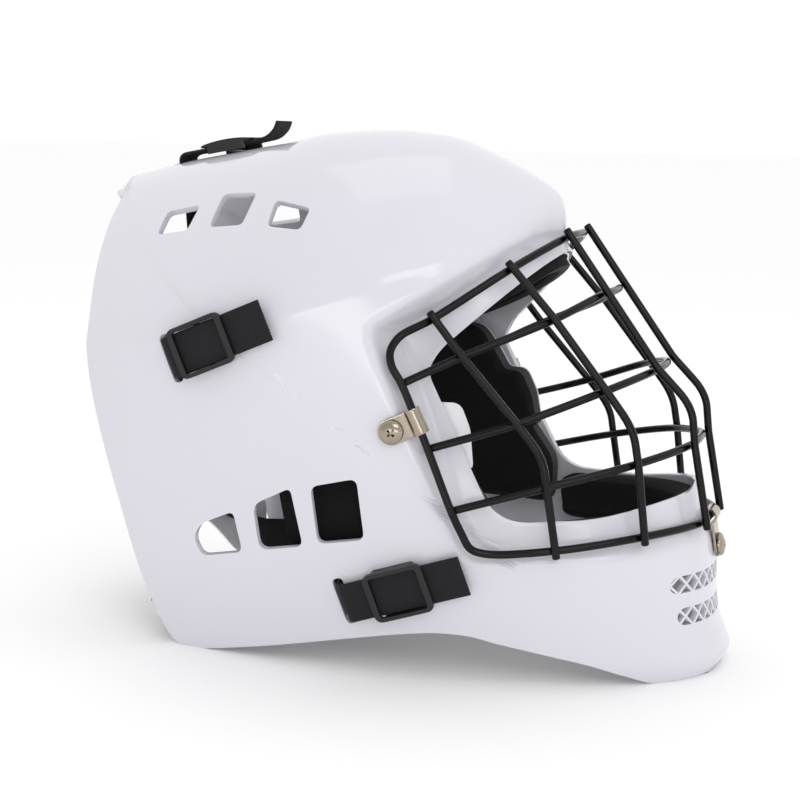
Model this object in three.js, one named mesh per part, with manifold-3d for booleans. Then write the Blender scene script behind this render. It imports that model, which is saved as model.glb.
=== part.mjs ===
// Goalie mask for floorball and street hockey: a one-piece shell with a wire
// cage, foam pads, and a rear plate pulled in by five elastic straps.
// Millimetres. +X is the way the wearer faces, +Y the wearer's left, +Z up.
// The origin is under the middle of the mask, on the surface it stands on.
import * as THREE from 'three';
import { mergeVertices } from 'three/addons/utils/BufferGeometryUtils.js';
import Module from 'manifold-3d';

const wasm = await Module();
wasm.setup();

// ---- driving dimensions -------------------------------------------------
const shellLength = 322;      // chin lip to the back of the crown
const shellHeight = 258;      // floor to the top of the crown
const shellWidth = 204;       // across the creases
const wall = 3.2;             // moulded shell wall
const gap = 0.3;              // between pieces that touch

const wireDiameter = 3.8;     // cage wire
const strapWidth = 20;        // elastic webbing
const strapThickness = 1.6;
const slotClearance = 2;      // round a strap in its slot
const sliderBar = 3;          // width of a slider's bars
const sliderLength = 30;      // slider, along the strap
const sliderThickness = 2.2;
const sliderRail = 2;         // side rail beyond the strap

const screwHead = 11.5;       // pan head diameter
const screwShank = 5;
const clipWidth = 12.5;       // strip the cage clips are bent from
const clipThickness = 1.2;
const clipSeat = 0.6;         // clip over the curved wall
const clipSlack = 0.5;        // clip round the wire
const nutAcross = 8;
const nutThickness = 4;
const nutStandOff = 3;        // the wall curves away behind a flat nut

const padThickness = 10;      // side, chin and forehead foam
const padStandOff = 1.4;      // glue between the curved wall and a pad
const padBoardThickness = 1;  // moulded backing of a side pad
const crownPadThickness = 8;
const plateThickness = 2.6;   // rear plate
const plateRadius = 85;       // bend round the back of the head
const platePadThickness = 9;

// ---- side-view drawing --------------------------------------------------
// The shell is drawn in side view at 322 x 258 x 204 and stretched to size.
const stretch = new THREE.Vector3(shellLength / 322, shellWidth / 204, shellHeight / 258);
const drawnMiddle = -4;       // middle of the drawing, moved over the origin

const crownLine = [[-165, 232.7], [-136, 239.8], [-100, 246.8], [-79, 250.8], [-57, 255.8],
  [-30, 258], [-11, 257.8], [12, 254.5], [36, 244.5], [54.5, 235], [64, 227.5], [66.6, 221]];
const frontLine = [[0, 152], [1, 153], [8, 157], [13.6, 155.6], [25, 151], [42, 149],
  [56, 148.4], [66, 146.4], [75, 142.6], [95, 137], [130, 118], [165, 95], [195, 74], [205, 67.8], [221, 66.6]];
const bottomLine = [[-98, -1.2], [-55, 7], [-7, 17.2], [25, 22.6], [44, 22.6], [57.5, 19.7],
  [78, 15.5], [101, 10.2], [115, 5.2], [133, -1.2], [153, 1]];
const rearLine = [[-1.2, -98], [0.8, -108], [8, -114], [33, -125], [75, -136.7], [108, -146],
  [132, -151.5], [149.6, -153.5], [165, -153.5], [190, -156], [211, -157.5], [222, -158], [232.7, -165]];
const creaseLine = [[-160, 149.5], [-105, 157], [-55, 168], [0, 188], [45, 204], [70, 208]];

const widestX = -60;          // where the plan is widest
const halfWide = 102;
const lowerTuck = 24;         // how far the sides come in from crease to hem
const domeKink = 0.18;        // how sharply the dome leaves the crease
const rearTaper = 0.2;        // share of the width lost at the rear edge
const recessDepth = 5.6 + 3 * wireDiameter;   // step round the face, room for the cage

function clamp(value, low, high) {
  return Math.min(Math.max(value, low), high);
}

function smooth(value) {
  const t = clamp(value, 0, 1);
  return t * t * (3 - 2 * t);
}

// A smooth curve through points [input, output], read at one input.
function along(points, at) {
  const last = points.length - 1;
  let i = 0;
  while (i < last - 1 && at > points[i + 1][0]) i += 1;
  const slope = (k) => {
    const a = Math.max(k - 1, 0);
    const b = Math.min(k + 1, last);
    return (points[b][1] - points[a][1]) / (points[b][0] - points[a][0]);
  };
  const step = points[i + 1][0] - points[i][0];
  const t = clamp((at - points[i][0]) / step, 0, 1);
  const rise = points[i + 1][1] - points[i][1];
  const m0 = slope(i) * step;
  const m1 = slope(i + 1) * step;
  return points[i][1] + t * (m0 + t * (3 * rise - 2 * m0 - m1 + t * (m0 + m1 - 2 * rise)));
}

// Depth of the step behind the cage, from three lines of the cage outline.
function recess(x, z) {
  const fromSide = ((x + 2) * 98 + (z - 160) * 43) / 107;
  const fromTop = ((x - 1) * 52 - (z - 172) * 74) / 90.4;
  const fromBottom = z - 59 - 0.06 * (x - 50);
  const inward = Math.min(fromSide, fromTop, fromBottom * 1.4);
  return fullRecess(z) * smooth(inward / 11);
}

function fullRecess(z) {
  return recessDepth * (0.4 + 0.6 * smooth((z - 60) / 100));
}

// Half the shell's width at a point of the side view: the shape of the shell.
// Foam behind the cage uses the level of the step all over.
function halfWidth(x, z, level = false) {
  const crease = along(creaseLine, x);
  const front = along(frontLine, z);
  const ahead = clamp((x - widestX) / (front - widestX), 0, 1);
  const power = 2.4 - 0.5 * smooth((z - 60) / 120);
  const plan = (1 - ahead ** power) ** (1 / power);
  const up = clamp((z - crease) / (along(crownLine, x) - crease), 0, 1);
  const down = clamp((crease - z) / crease, 0, 1);
  const rib = (1 - domeKink * up) * Math.sqrt(1 - up * up) - (lowerTuck / halfWide) * down ** 1.6;
  const behind = clamp((widestX - x) / 95, 0, 1.2);
  const width = halfWide * plan * rib * (1 - rearTaper * behind ** 2.2);
  return width * (1 - (level ? fullRecess(z) : recess(x, z)) / (88 * stretch.y));
}

function surfacePoint(x, z, side, level) {
  return new THREE.Vector3(x, side * halfWidth(x, z, level), z).multiply(stretch);
}

// Outward direction of the shell, by small differences kept inside the outline.
function surfaceNormal(x, z, side, level) {
  const d = 0.4;
  const inX = x > widestX ? -d : d;
  const inZ = z > 120 ? -d : d;
  const w = halfWidth(x, z, level);
  const slopeX = (halfWidth(x + inX, z, level) - w) / inX;
  const slopeZ = (halfWidth(x, z + inZ, level) - w) / inZ;
  const n = new THREE.Vector3(-slopeX, side, -slopeZ);
  return n.divide(stretch).normalize();
}

// ---- mesh helpers -------------------------------------------------------
function makeGeometry(points, triangles) {
  const geometry = new THREE.BufferGeometry();
  geometry.setAttribute('position', new THREE.Float32BufferAttribute(points.flatMap((p) => [p.x, p.y, p.z]), 3));
  geometry.setIndex(triangles.flat());
  return geometry;
}

function toSolid(geometry) {
  const bare = geometry.clone();
  bare.deleteAttribute('normal');
  bare.deleteAttribute('uv');
  const merged = mergeVertices(bare, 1e-4);
  return new wasm.Manifold(new wasm.Mesh({
    numProp: 3,
    vertProperties: new Float32Array(merged.attributes.position.array),
    triVerts: new Uint32Array(merged.index.array),
  }));
}

function fromSolid(solid) {
  const mesh = solid.getMesh();
  const geometry = new THREE.BufferGeometry();
  geometry.setAttribute('position', new THREE.BufferAttribute(new Float32Array(mesh.vertProperties), 3));
  geometry.setIndex(new THREE.BufferAttribute(new Uint32Array(mesh.triVerts), 1));
  return geometry;
}

function cut(geometry, cutters) {
  return fromSolid(cutters.reduce((solid, cutter) => solid.subtract(toSolid(cutter)), toSolid(geometry)));
}

// What is left of a piece after cutting, without loose crumbs.
function trimmed(geometry, cutters) {
  const left = cutters.reduce((solid, cutter) => solid.subtract(toSolid(cutter)), toSolid(geometry));
  const bodies = left.decompose().sort((a, b) => b.volume() - a.volume());
  return fromSolid(bodies[0]);
}

function join(geometries) {
  return fromSolid(geometries.map(toSolid).reduce((a, b) => a.add(b)));
}

// A closed sheet from two matching grids of points, rows x columns.
function slab(front, back, flip) {
  const rows = front.length;
  const cols = front[0].length;
  const points = [...front.flat(), ...back.flat()];
  const at = (side, r, c) => side * rows * cols + r * cols + c;
  const triangles = [];
  const quad = (a, b, c, d) => triangles.push(...(flip ? [[c, b, a], [d, c, a]] : [[a, b, c], [a, c, d]]));
  for (let r = 0; r < rows - 1; r += 1) {
    for (let c = 0; c < cols - 1; c += 1) {
      quad(at(0, r, c), at(0, r, c + 1), at(0, r + 1, c + 1), at(0, r + 1, c));
      quad(at(1, r, c), at(1, r + 1, c), at(1, r + 1, c + 1), at(1, r, c + 1));
    }
  }
  for (let c = 0; c < cols - 1; c += 1) {
    quad(at(0, 0, c), at(1, 0, c), at(1, 0, c + 1), at(0, 0, c + 1));
    quad(at(0, rows - 1, c), at(0, rows - 1, c + 1), at(1, rows - 1, c + 1), at(1, rows - 1, c));
  }
  for (let r = 0; r < rows - 1; r += 1) {
    quad(at(0, r, 0), at(0, r + 1, 0), at(1, r + 1, 0), at(1, r, 0));
    quad(at(0, r, cols - 1), at(1, r, cols - 1), at(1, r + 1, cols - 1), at(0, r + 1, cols - 1));
  }
  return makeGeometry(points, triangles);
}

function isInsideOut(geometry) {
  const p = geometry.attributes.position;
  const index = geometry.index;
  const [a, b, c] = [new THREE.Vector3(), new THREE.Vector3(), new THREE.Vector3()];
  let volume = 0;
  for (let i = 0; i < index.count; i += 3) {
    a.fromBufferAttribute(p, index.getX(i));
    b.fromBufferAttribute(p, index.getX(i + 1));
    c.fromBufferAttribute(p, index.getX(i + 2));
    volume += a.dot(b.cross(c));
  }
  return volume < 0;
}

// A closed sheet that faces outwards whichever way its grids run.
function closedSlab(front, back) {
  const geometry = slab(front, back, false);
  return isInsideOut(geometry) ? slab(front, back, true) : geometry;
}

function roundedOutline(corners) {
  const shape = new THREE.Shape();
  const count = corners.length;
  corners.forEach(([x, y, radius], i) => {
    const before = new THREE.Vector2(...corners[(i + count - 1) % count]);
    const after = new THREE.Vector2(...corners[(i + 1) % count]);
    const corner = new THREE.Vector2(x, y);
    const room = 0.48 * Math.min(corner.distanceTo(before), corner.distanceTo(after));
    const reach = Math.min(radius, room);
    const enter = corner.clone().add(before.sub(corner).setLength(reach));
    const leave = corner.clone().add(after.sub(corner).setLength(reach));
    if (i === 0) shape.moveTo(enter.x, enter.y);
    else shape.lineTo(enter.x, enter.y);
    shape.quadraticCurveTo(x, y, leave.x, leave.y);
  });
  shape.closePath();
  return shape;
}

// A frame of three axes as a matrix: along, across, out, and an origin.
function placed(geometry, axisAlong, axisAcross, axisOut, origin) {
  const matrix = new THREE.Matrix4().makeBasis(axisAlong, axisAcross, axisOut).setPosition(origin);
  return geometry.clone().applyMatrix4(matrix);
}

function prism(shape, depth, curveSegments = 3) {
  return new THREE.ExtrudeGeometry(shape, { depth, bevelEnabled: false, curveSegments });
}

function box(length, width, height, x, y, z) {
  return new THREE.BoxGeometry(length, width, height).translate(x, y, z);
}

// ---- shell --------------------------------------------------------------
const centreX = -25;
const centreZ = 130;
const rings = 7;

function outlinePoints() {
  const points = [];
  const addRun = (curve, from, to, count, swap) => {
    for (let i = 0; i < count; i += 1) {
      const at = from + ((to - from) * i) / count;
      const value = along(curve, at);
      points.push(swap ? [value, at] : [at, value]);
    }
  };
  addRun(crownLine, -165, 66.6, 12, false);
  addRun(frontLine, 221, 205, 2, true);
  addRun(frontLine, 205, 75, 6, true);
  addRun(frontLine, 75, 1, 8, true);
  const freeStart = points.length;
  addRun(bottomLine, 153, -98, 12, false);
  addRun(rearLine, -1.2, 232.7, 11, true);
  return { points, freeStart };
}

function shellSkin() {
  const { points: outline, freeStart } = outlinePoints();
  const count = outline.length;
  const vertices = [];
  const index = new Map();
  const keyOf = (side, ring, i) => {
    const onMirror = ring === rings && (i <= freeStart || i === count);
    return `${onMirror ? 0 : side}:${ring === 0 ? 0 : ring}:${ring === 0 ? 0 : i % count}`;
  };
  const vertex = (side, ring, i) => {
    const key = keyOf(side, ring, i);
    if (!index.has(key)) {
      const share = Math.sin((Math.PI / 2) * (ring / rings));
      const [ox, oz] = outline[i % count];
      const x = centreX + (ox - centreX) * share;
      const z = centreZ + (oz - centreZ) * share;
      const p = surfacePoint(x, z, side);
      if (key.startsWith('0')) p.y = 0;
      index.set(key, vertices.length);
      vertices.push(p);
    }
    return index.get(key);
  };
  const faces = [];
  [1, -1].forEach((side) => {
    for (let ring = 0; ring < rings; ring += 1) {
      for (let i = 0; i < count; i += 1) {
        const a = vertex(side, ring, i);
        const b = vertex(side, ring, i + 1);
        const c = vertex(side, ring + 1, i + 1);
        const d = vertex(side, ring + 1, i);
        const around = side > 0 ? [[a, c, b], [a, d, c]] : [[a, b, c], [a, c, d]];
        faces.push(...around.filter(([p, q, r]) => p !== q && q !== r && r !== p));
      }
    }
  });
  const edge = [];
  [1, -1].forEach((side) => {
    for (let i = freeStart; i < count; i += 1) {
      edge.push([vertex(side, rings, i), vertex(side, rings, i + 1), side]);
    }
  });
  return { vertices, faces, edge };
}

// The shell before its openings are cut, or a thicker one to trim foam with.
function shellBlank(thickness = wall) {
  const { vertices, faces, edge } = shellSkin();
  const normals = vertices.map(() => new THREE.Vector3());
  faces.forEach(([a, b, c]) => {
    const n = vertices[b].clone().sub(vertices[a]).cross(vertices[c].clone().sub(vertices[a]));
    [a, b, c].forEach((k) => normals[k].add(n));
  });
  const inner = vertices.map((p, k) => p.clone().addScaledVector(normals[k].normalize(), -thickness));
  const offset = vertices.length;
  const triangles = [...faces, ...faces.map(([a, b, c]) => [c + offset, b + offset, a + offset])];
  edge.forEach(([a, b, side]) => {
    const quads = [[a, a + offset, b + offset], [a, b + offset, b]];
    triangles.push(...(side > 0 ? quads : quads.map(([p, q, r]) => [r, q, p])));
  });
  return makeGeometry([...vertices, ...inner], triangles);
}

const faceOpening = [[76, 207, 2], [25, 157, 10], [20, 147, 6], [56, 78, 14], [100, 80, 10],
  [136, 89, 10], [210, 102, 2], [210, 207, 2]];
const lowerHoles = [
  [[-92, 60, 5], [-87, 68, 4], [-69, 76, 3], [-65.5, 55.5, 4], [-88, 51, 4]],
  [[-58.5, 80.5, 5], [-39, 90.5, 3], [-34, 61.5, 4], [-56.5, 57.5, 5]],
  [[-29, 92, 4], [-6.5, 97.5, 4], [-3.5, 67.5, 4], [-26.5, 63.5, 4]],
];
const upperHoles = [
  [[-120, 216, 2.5], [-101, 220, 2.5], [-103, 208, 2.5], [-121, 205, 2.5]],
  [[-90, 225.5, 2.5], [-70.5, 227, 2.5], [-72, 212, 2.5], [-90.5, 210, 2.5]],
  [[-58, 224, 2.5], [-38, 221, 2.5], [-40, 211, 2.5], [-58, 212, 2.5]],
];

function scaledOutline(corners) {
  return roundedOutline(corners.map(([x, z, r]) => [x * stretch.x, z * stretch.z, r]));
}

// A cutter along Y through one side of the shell.
function sideCutter(corners, side) {
  const near = 30 * stretch.y;
  const cutter = prism(scaledOutline(corners), 120 * stretch.y);
  cutter.rotateX(Math.PI / 2);
  cutter.translate(0, side > 0 ? near + 120 * stretch.y : -near, 0);
  return cutter;
}

// A cutter square to the sloping wall under the crown.
function slopeCutter(corners, side) {
  const middle = corners.reduce((sum, [x, z]) => [sum[0] + x / corners.length, sum[1] + z / corners.length], [0, 0]);
  const centre = surfacePoint(...middle, side);
  const out = surfaceNormal(...middle, side).setX(0).normalize();
  const across = new THREE.Vector3(1, 0, 0);
  const up = new THREE.Vector3().crossVectors(out, across).multiplyScalar(side);
  const shape = roundedOutline(corners.map(([x, z, r]) => [
    side * (x - middle[0]) * stretch.x, (z - middle[1]) * stretch.z / Math.abs(up.z), r]));
  return placed(prism(shape, 40), across.clone().multiplyScalar(side), up, out, centre.addScaledVector(out, -20));
}

// ---- straps: where each passes the shell, and which way its end runs ------
const strapRuns = {
  upper: { slot: [-98.5, 149], end: [-47, 171] },
  lower: { slot: [-14.5, 35.5], end: [44, 55] },
};

function strapFrame(run, side) {
  const start = surfacePoint(...run.slot, side);
  const finish = surfacePoint(...run.end, side);
  const alongStrap = finish.clone().sub(start).normalize();
  const middle = [(run.slot[0] + run.end[0]) / 2, (run.slot[1] + run.end[1]) / 2];
  const across = new THREE.Vector3().crossVectors(surfaceNormal(...middle, side), alongStrap).normalize();
  const out = new THREE.Vector3().crossVectors(alongStrap, across);
  const length = finish.distanceTo(start);
  let lift = 0;
  for (let share = 0; share <= 1; share += 0.1) {
    for (let wide = -1; wide <= 1; wide += 1) {
      const probe = start.clone().addScaledVector(alongStrap, share * length)
        .addScaledVector(across, wide * (strapWidth / 2 + sliderRail));
      const skin = surfacePoint(probe.x / stretch.x, probe.z / stretch.z, side);
      lift = Math.max(lift, skin.sub(probe).dot(out));
    }
  }
  return { start, along: alongStrap, across, out, length, lift };
}

const crownStrap = (() => {
  const start = new THREE.Vector3(-138, 0, along(crownLine, -138)).multiply(stretch);
  const finish = new THREE.Vector3(-84, 0, along(crownLine, -84)).multiply(stretch);
  const alongStrap = finish.clone().sub(start).normalize();
  const across = new THREE.Vector3(0, 1, 0);
  const out = new THREE.Vector3().crossVectors(alongStrap, across);
  return { start, along: alongStrap, across, out, length: finish.distanceTo(start), lift: 0.6 };
})();

const straps = {
  crown: crownStrap,
  upper_left: strapFrame(strapRuns.upper, 1),
  upper_right: strapFrame(strapRuns.upper, -1),
  lower_left: strapFrame(strapRuns.lower, 1),
  lower_right: strapFrame(strapRuns.lower, -1),
};

const slotLength = strapWidth + 2 * slotClearance;
const slotWidth = strapThickness + 2 * slotClearance;

function slotCutter(frame) {
  const half = slotLength / 2;
  const shape = roundedOutline([[-slotWidth / 2, -half, 2.4], [slotWidth / 2, -half, 2.4],
    [slotWidth / 2, half, 2.4], [-slotWidth / 2, half, 2.4]]);
  return placed(prism(shape, 36), frame.along, frame.across, frame.out, frame.start.clone().addScaledVector(frame.out, -18));
}

// Two rows of small slanted vents round the chin, left open like a lattice.
function chinVents() {
  const cutters = [];
  [[47.5, 37], [31.5, 33]].forEach(([height, reach]) => {
    for (let k = -5; k <= 5; k += 1) {
      const shape = roundedOutline([[-1.7, -4, 1], [1.7, -4, 1], [1.7, 4, 1], [-1.7, 4, 1]]);
      const cutter = prism(shape, 60);
      cutter.rotateZ(k % 2 === 0 ? 0.35 : -0.35);
      cutter.rotateZ(Math.PI / 2).rotateY(Math.PI / 2);
      cutter.translate(120 * stretch.x, (k * reach * stretch.y) / 5, height * stretch.z);
      cutters.push(cutter);
    }
  });
  return cutters;
}

// ---- cage clips and screws: where they hold ------------------------------
const sideClipAt = [10, 121];
const chinClipHeight = 60;

function sideClipFrame(side) {
  const start = surfacePoint(...sideClipAt, side);
  const out = surfaceNormal(...sideClipAt, side);
  // square to the side wire, which runs 13.5 ahead and 29.8 down
  const towards = new THREE.Vector3(29.8 * stretch.z, 0, 13.5 * stretch.x);
  const across = new THREE.Vector3().crossVectors(out, towards).normalize();
  return { start, out, across, along: new THREE.Vector3().crossVectors(across, out) };
}

// the chin clip lies along the slope of the chin
function chinClipFrameAt(height) {
  const at = (z) => new THREE.Vector3(along(frontLine, z), 0, z).multiply(stretch);
  const rise = at(height + 5).sub(at(height - 7)).normalize();
  const across = new THREE.Vector3(0, -1, 0);
  return { start: at(height), out: new THREE.Vector3().crossVectors(rise, across), across, along: rise };
}

const chinClipFrame = chinClipFrameAt(chinClipHeight);

const clipFrames = { side_left: sideClipFrame(1), side_right: sideClipFrame(-1), chin: chinClipFrame };

function boreCutter(frame) {
  const drill = new THREE.CylinderGeometry(screwShank / 2 + gap, screwShank / 2 + gap, 40, 12);
  drill.rotateX(Math.PI / 2);
  return placed(drill, frame.along, frame.across, frame.out, frame.start);
}

function shellGeometry() {
  const cutters = [];
  const opening = prism(scaledOutline(faceOpening), 300 * stretch.y);
  opening.rotateX(Math.PI / 2);
  opening.translate(0, 150 * stretch.y, 0);
  cutters.push(opening);
  [1, -1].forEach((side) => {
    lowerHoles.forEach((hole) => cutters.push(sideCutter(hole, side)));
    upperHoles.forEach((hole) => cutters.push(slopeCutter(hole, side)));
  });
  Object.values(straps).forEach((frame) => cutters.push(slotCutter(frame)));
  Object.values(clipFrames).forEach((frame) => cutters.push(boreCutter(frame)));
  cutters.push(...chinVents(), box(400 * stretch.x, 400 * stretch.y, 20, 0, 0, -10));
  return cut(shellBlank(), cutters);
}

// ---- cage wires -----------------------------------------------------------
// Where the upright wires cross the top bar, the three rows, the bend between
// the second and third rows, and the bottom bar, in side view.
const uprights = {
  outer: { y: 75, points: [[23.4, 172.4], [37.5, 155.4], [64.5, 126], [77.5, 111], [79.7, 97], [84.8, 67.7]] },
  middle: { y: 54, points: [[54.2, 195.3], [75, 172.5], [100.5, 140.7], [114, 123.5], [117, 107], [121.4, 72.9]] },
  centre: { y: 22, points: [[73.2, 209.1], [92.3, 182.8], [118, 147.5], [135.2, 130.3], [137.2, 112], [144.6, 75]] },
};
const rowEnds = [[13.5, 143], [27, 113.2], [39, 85]];   // where the rows meet the side wires
const sideWireY = 89;
const frameCorners = { top: [7.5, 158.9], bottom: [46.5, 65.5] };
const wireRadius = wireDiameter / 2;
const wireStep = wireRadius + gap / 2;        // each wire's shift from a crossing
const middleBow = 2.6;                        // bars and rows bow ahead between the centre uprights
const wireOverrun = 2.4;                      // an upright's end past the bar it hooks over
const rowOverrun = 0.3;                       // a row's end past the side wire

const rowIndex = [0, 1, 2, 4, 5];             // entries of an upright that lie on a bar or row
const columnNames = ['outer', 'middle', 'centre'];

// A crossing of upright and bar, with the direction that leads out of the mask.
function crossing(column, entry) {
  const { y, points } = uprights[columnNames[column]];
  const at = (c, e) => {
    const upright = uprights[columnNames[c]];
    return new THREE.Vector3(upright.points[e][0], upright.y, upright.points[e][1]).multiply(stretch);
  };
  const point = new THREE.Vector3(points[entry][0], y, points[entry][1]).multiply(stretch);
  const onUpright = at(column, Math.min(entry + 1, 5)).sub(at(column, Math.max(entry - 1, 0)));
  const inner = column < 2 ? at(column + 1, entry) : at(column, entry).setY(0);
  const outer = column > 0 ? at(column - 1, entry) : outerNeighbour(entry);
  const out = new THREE.Vector3().crossVectors(inner.sub(outer), onUpright).normalize();
  return { point, out: out.x < 0 ? out.negate() : out };
}

function outerNeighbour(entry) {
  const ends = { 0: frameCorners.top, 1: rowEnds[0], 2: rowEnds[1], 3: rowEnds[1], 4: rowEnds[2], 5: frameCorners.bottom };
  return new THREE.Vector3(ends[entry][0], sideWireY, ends[entry][1]).multiply(stretch);
}

function mirrored(points) {
  return points.map((p) => new THREE.Vector3(p.x, -p.y, p.z)).reverse();
}

const wireSection = new THREE.Shape(new THREE.Path().absarc(0, 0, wireRadius, 0, 2 * Math.PI).getSpacedPoints(6).slice(0, 6));

function wire(path, steps) {
  return new THREE.ExtrudeGeometry(wireSection, { steps, bevelEnabled: false, extrudePath: path });
}

// The loop round the cage, from the middle of the bottom bar and back to it.
function frameHalf() {
  const [top, bottom] = [[], []];
  [2, 1, 0].forEach((column) => {
    const high = crossing(column, 0);
    const low = crossing(column, 5);
    top.push(high.point.addScaledVector(high.out, -wireStep));
    bottom.unshift(low.point.addScaledVector(low.out, -wireStep));
  });
  const ends = rowEnds.map(([x, z]) => [x, z, sideWireY]);
  const side = [[10.8, 164, 85.8], [7.6, 157.5, 88.4], [8.6, 151, sideWireY], ...ends, [43.2, 75, 86.5],
    [47.2, 67.6, 84.5], [54, 65.2, 82]].map(([x, z, y]) => new THREE.Vector3(x, y, z).multiply(stretch));
  return [...top, ...side, ...bottom];
}

function frameWire() {
  const half = frameHalf();
  const first = half[0];
  const last = half[half.length - 1];
  const topMiddle = new THREE.Vector3(first.x + middleBow, 0, first.z + 1.6);
  const bottomMiddle = new THREE.Vector3(last.x + middleBow, 0, last.z + 0.3);
  const left = [...half, bottomMiddle.clone().setY(gap)];
  const right = mirrored([...half, bottomMiddle.clone().setY(gap)]);
  const path = new THREE.CatmullRomCurve3([...right, topMiddle, ...left], false, 'centripetal');
  return wire(path, 96);
}

function rowWire(row) {
  const entry = rowIndex[row + 1];
  const half = [2, 1, 0].map((column) => {
    const { point, out } = crossing(column, entry);
    return point.addScaledVector(out, -wireStep);
  });
  const [x, z] = rowEnds[row];
  const inward = wireDiameter + gap;
  const endPoint = new THREE.Vector3(x, 0, z).multiply(stretch).setY(sideWireY * stretch.y - inward);
  const before = half[2];
  const beyond = endPoint.clone().sub(before).setLength(rowOverrun).add(endPoint);
  const middle = new THREE.Vector3(half[0].x + middleBow, 0, half[0].z + 0.8);
  const points = [...mirrored([...half, beyond]), middle, ...half, beyond];
  return wire(new THREE.CatmullRomCurve3(points, false, 'centripetal'), 36);
}

function uprightWire(column, side) {
  const points = [0, 1, 2, 3, 4, 5].map((entry) => {
    const { point, out } = crossing(column, entry);
    return point.addScaledVector(out, wireStep);
  });
  points[0].sub(points[1]).setLength(points[0].length() + wireOverrun).add(points[1]);
  points[5].sub(points[4]).setLength(points[5].length() + wireOverrun).add(points[4]);
  points.forEach((p) => { p.y *= side; });
  const path = new THREE.CurvePath();
  const bend = points[3];
  const radius = 9;
  const enter = bend.clone().add(points[2].clone().sub(bend).setLength(radius));
  const leave = bend.clone().add(points[4].clone().sub(bend).setLength(radius * 0.8));
  path.add(new THREE.LineCurve3(points[0], points[1]));
  path.add(new THREE.LineCurve3(points[1], points[2]));
  path.add(new THREE.LineCurve3(points[2], enter));
  path.add(new THREE.QuadraticBezierCurve3(enter, bend, leave));
  path.add(new THREE.LineCurve3(leave, points[4]));
  path.add(new THREE.LineCurve3(points[4], points[5]));
  return wire(path, 20);
}

// ---- clips, screws and nuts ----------------------------------------------
// A strip bent along a line of points, drawn in the plane of along and out.
function stripShape(line, thickness) {
  const sides = [[], []];
  line.forEach((p, i) => {
    const before = line[Math.max(i - 1, 0)];
    const after = line[Math.min(i + 1, line.length - 1)];
    const normal = new THREE.Vector2(-(after.y - before.y), after.x - before.x).normalize();
    sides[0].push(p.clone().addScaledVector(normal, thickness / 2));
    sides[1].unshift(p.clone().addScaledVector(normal, -thickness / 2));
  });
  return new THREE.Shape([...sides[0], ...sides[1]]);
}

function clipGeometry(frame, wireCentre) {
  const away = wireCentre.clone().sub(frame.start);
  const reach = away.dot(frame.along);
  const height = away.dot(frame.out);
  const radius = wireRadius + clipSlack + gap + clipThickness / 2;
  const level = clipSeat + clipThickness / 2;
  const line = [new THREE.Vector2(-screwHead / 2 - 0.5, level), new THREE.Vector2(0, level),
    new THREE.Vector2(Math.max(reach - radius - 3, screwHead / 2), level)];
  // the strip runs level until it meets its bend over the wire
  const meets = Math.PI - Math.asin(clamp((level - height) / radius, -1, 1));
  for (let k = 0; k <= 8; k += 1) {
    const angle = meets - (k / 8) * (meets + Math.PI / 10);
    line.push(new THREE.Vector2(reach + radius * Math.cos(angle), height + radius * Math.sin(angle)));
  }
  const strip = prism(stripShape(line, clipThickness), clipWidth);
  strip.translate(0, 0, -clipWidth / 2);
  const across = frame.across.clone().negate();
  const body = placed(strip, frame.along, frame.out, across, frame.start);
  return cut(body, [boreCutter(frame)]);
}

function screwGeometry(frame) {
  const shank = screwShank / 2;
  const head = screwHead / 2;
  const seat = clipSeat + gap + clipThickness;
  const profile = [[0, -wall - 7], [shank, -wall - 7], [shank, seat], [head, seat], [head, seat + 1],
    [head * 0.86, seat + 2.2], [head * 0.5, seat + 3], [0, seat + 3.2]].map(([r, h]) => new THREE.Vector2(r, h));
  const screw = new THREE.LatheGeometry(profile, 12);
  screw.rotateX(Math.PI / 2);
  return placed(screw, frame.along, frame.across, frame.out, frame.start);
}

function nutGeometry(frame) {
  const nut = new THREE.CylinderGeometry(nutAcross / Math.sqrt(3), nutAcross / Math.sqrt(3), nutThickness, 6);
  nut.rotateX(Math.PI / 2);
  nut.translate(0, 0, -wall - nutStandOff - nutThickness / 2);
  return cut(placed(nut, frame.along, frame.across, frame.out, frame.start), [boreCutter(frame)]);
}

// Room in the foam for a nut and the end of its screw.
function nutPocket(frame) {
  const depth = wall + nutStandOff + nutThickness + 2.5;
  const drill = new THREE.CylinderGeometry(nutAcross * 0.75, nutAcross * 0.75, 2 * depth, 12);
  drill.rotateX(Math.PI / 2);
  return placed(drill, frame.along, frame.across, frame.out, frame.start);
}

// ---- foam, laid against the inside of the shell ---------------------------
function inside(x, z, side, depth, level) {
  return surfacePoint(x, z, side, level).addScaledVector(surfaceNormal(x, z, side, level), -depth);
}

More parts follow.
